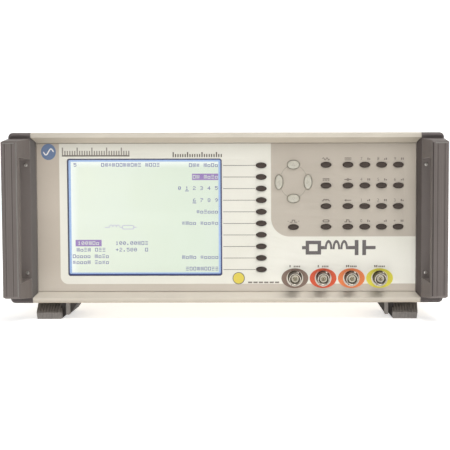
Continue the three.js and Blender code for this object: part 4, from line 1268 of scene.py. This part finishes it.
for node, name, mat, slot_name in (
    ("base_tray", "base_tray_sheet", "tray", "plated_sheet"),
    ("mains_inlet", "mains_inlet_body", "black", "black_plastic"),
    ("power_rocker", "power_rocker_body", "black", "black_plastic"),
    ("fuse_drawer", "fuse_drawer_body", "black", "black_plastic"),
    ("front_foot_left", "front_foot_left_body", "foot", "foot_plastic"),
    ("front_foot_right", "front_foot_right_body", "foot", "foot_plastic"),
    ("rear_foot_left", "rear_foot_left_body", "foot", "foot_plastic"),
    ("rear_foot_right", "rear_foot_right_body", "foot", "foot_plastic"),
    ("tilt_leg_left", "tilt_leg_left_body", "foot", "foot_plastic"),
    ("tilt_leg_right", "tilt_leg_right_body", "foot", "foot_plastic"),
    ("key_circuit_board", "key_circuit_board_body", "board", "board"),
    ("main_circuit_board", "main_circuit_board_body", "board", "board"),
    ("mains_transformer", "mains_transformer_body", "core", "core_iron"),
):
    for width in (0.3, 0.2, 0.12, 0.0):
        o = copy_node(node, name)
        if width:
            soften(o, width, 2, 25)
        bake(o)
        if sound(o) or not width:
            break
        bpy.data.objects.remove(o)
    body = next(b for b, ns in frame["record"]["behaviour"]["bodies"].items() if node in ns)
    finished(o, mat, body=body, replaces=node)

# moulded ribs down the sloping front of each front foot
for side, sx in (("left", -1), ("right", 1)):
    bm = bmesh.new()
    for k in range(8):
        q = sx * (131.6 + k * 2.2)
        v = []
        for x in (q - 0.6, q + 0.6):
            for d, z in ((6.6, 5.6), (19.0, 12.0), (19.6, 10.6), (7.4, 4.2)):
                v.append(bm.verts.new(P(x, d + (-0.42 if d in (6.6, 19.0) else 0), z + (0.62 if d in (6.6, 19.0) else 0))))
        for f in ((0, 1, 2, 3), (7, 6, 5, 4), (0, 4, 5, 1), (1, 5, 6, 2), (2, 6, 7, 3), (3, 7, 4, 0)):
            bm.faces.new([v[i] for i in f])
        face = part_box(f"front_foot_{side}")[0].y / MM - FRONT
        box_into(bm, q - 0.6, q + 0.6, face - 0.4, face + 0.4, 1.0, 5.2)
    ribs = from_bmesh(bm, f"front_foot_{side}_ribs")
    soften(ribs, 0.22, 2)
    bake(ribs)
    finished(ribs, "foot")

# ------------------------------------------------------------------ floor, light
floor_mat = Nodes("studio_floor")
floor_mat.link(floor_mat.mix(floor_mat.remap(floor_mat.noise(1.5, 2), 0.3, 0.7, 0, 1), (0.86, 0.86, 0.855, 1), (0.9, 0.9, 0.895, 1)),
               floor_mat.bsdf.inputs["Base Color"])
floor_mat.bsdf.inputs["Roughness"].default_value = 0.9
floor_mat.bsdf.inputs["Emission Color"].default_value = (1, 1, 1, 1)
floor_mat.bsdf.inputs["Emission Strength"].default_value = 0.6
bm = bmesh.new()
W, D, R, H = 4.0, 2.2, 0.8, 3.0
section = [(-4.0, 0.0), (D - R, 0.0)] + [(D - R + R * math.sin(math.radians(a)), R - R * math.cos(math.radians(a))) for a in range(10, 91, 10)] + [(D, H)]
left = [bm.verts.new(Vector((-W, y, z))) for y, z in section]
right = [bm.verts.new(Vector((W, y, z))) for y, z in section]
for i in range(len(section) - 1):
    bm.faces.new([left[i], right[i], right[i + 1], left[i + 1]])
sweep = from_bmesh(bm, "studio_sweep")
sweep.data.materials.append(floor_mat.mat)


def area(name, where, target, size, energy, colour=(1, 1, 1)):
    d = bpy.data.lights.new(name, "AREA")
    d.shape = "RECTANGLE"
    d.size, d.size_y = size
    d.energy = energy
    d.color = colour
    o = link(bpy.data.objects.new(name, d))
    o.location = where
    o.rotation_euler = (Vector(target) - Vector(where)).to_track_quat("-Z", "Y").to_euler()
    return o


area("key_light", (0.5, -0.85, 1.95), (0, -0.1, 0.06), (1.5, 1.5), 30, (1.0, 0.988, 0.97))
area("fill_light", (-1.1, -2.1, 0.6), (0, -0.1, 0.07), (1.4, 1.4), 4, (0.97, 0.985, 1.0))
area("top_light", (0, 0.3, 1.9), (0, 0, 0), (2.0, 2.0), 3)

world = bpy.data.worlds.new("studio")
bpy.context.scene.world = world
world.use_nodes = True
world.node_tree.nodes["Background"].inputs["Color"].default_value = (1, 1, 1, 1)
world.node_tree.nodes["Background"].inputs["Strength"].default_value = 0.22
bpy.context.scene.view_settings.view_transform = "Standard"
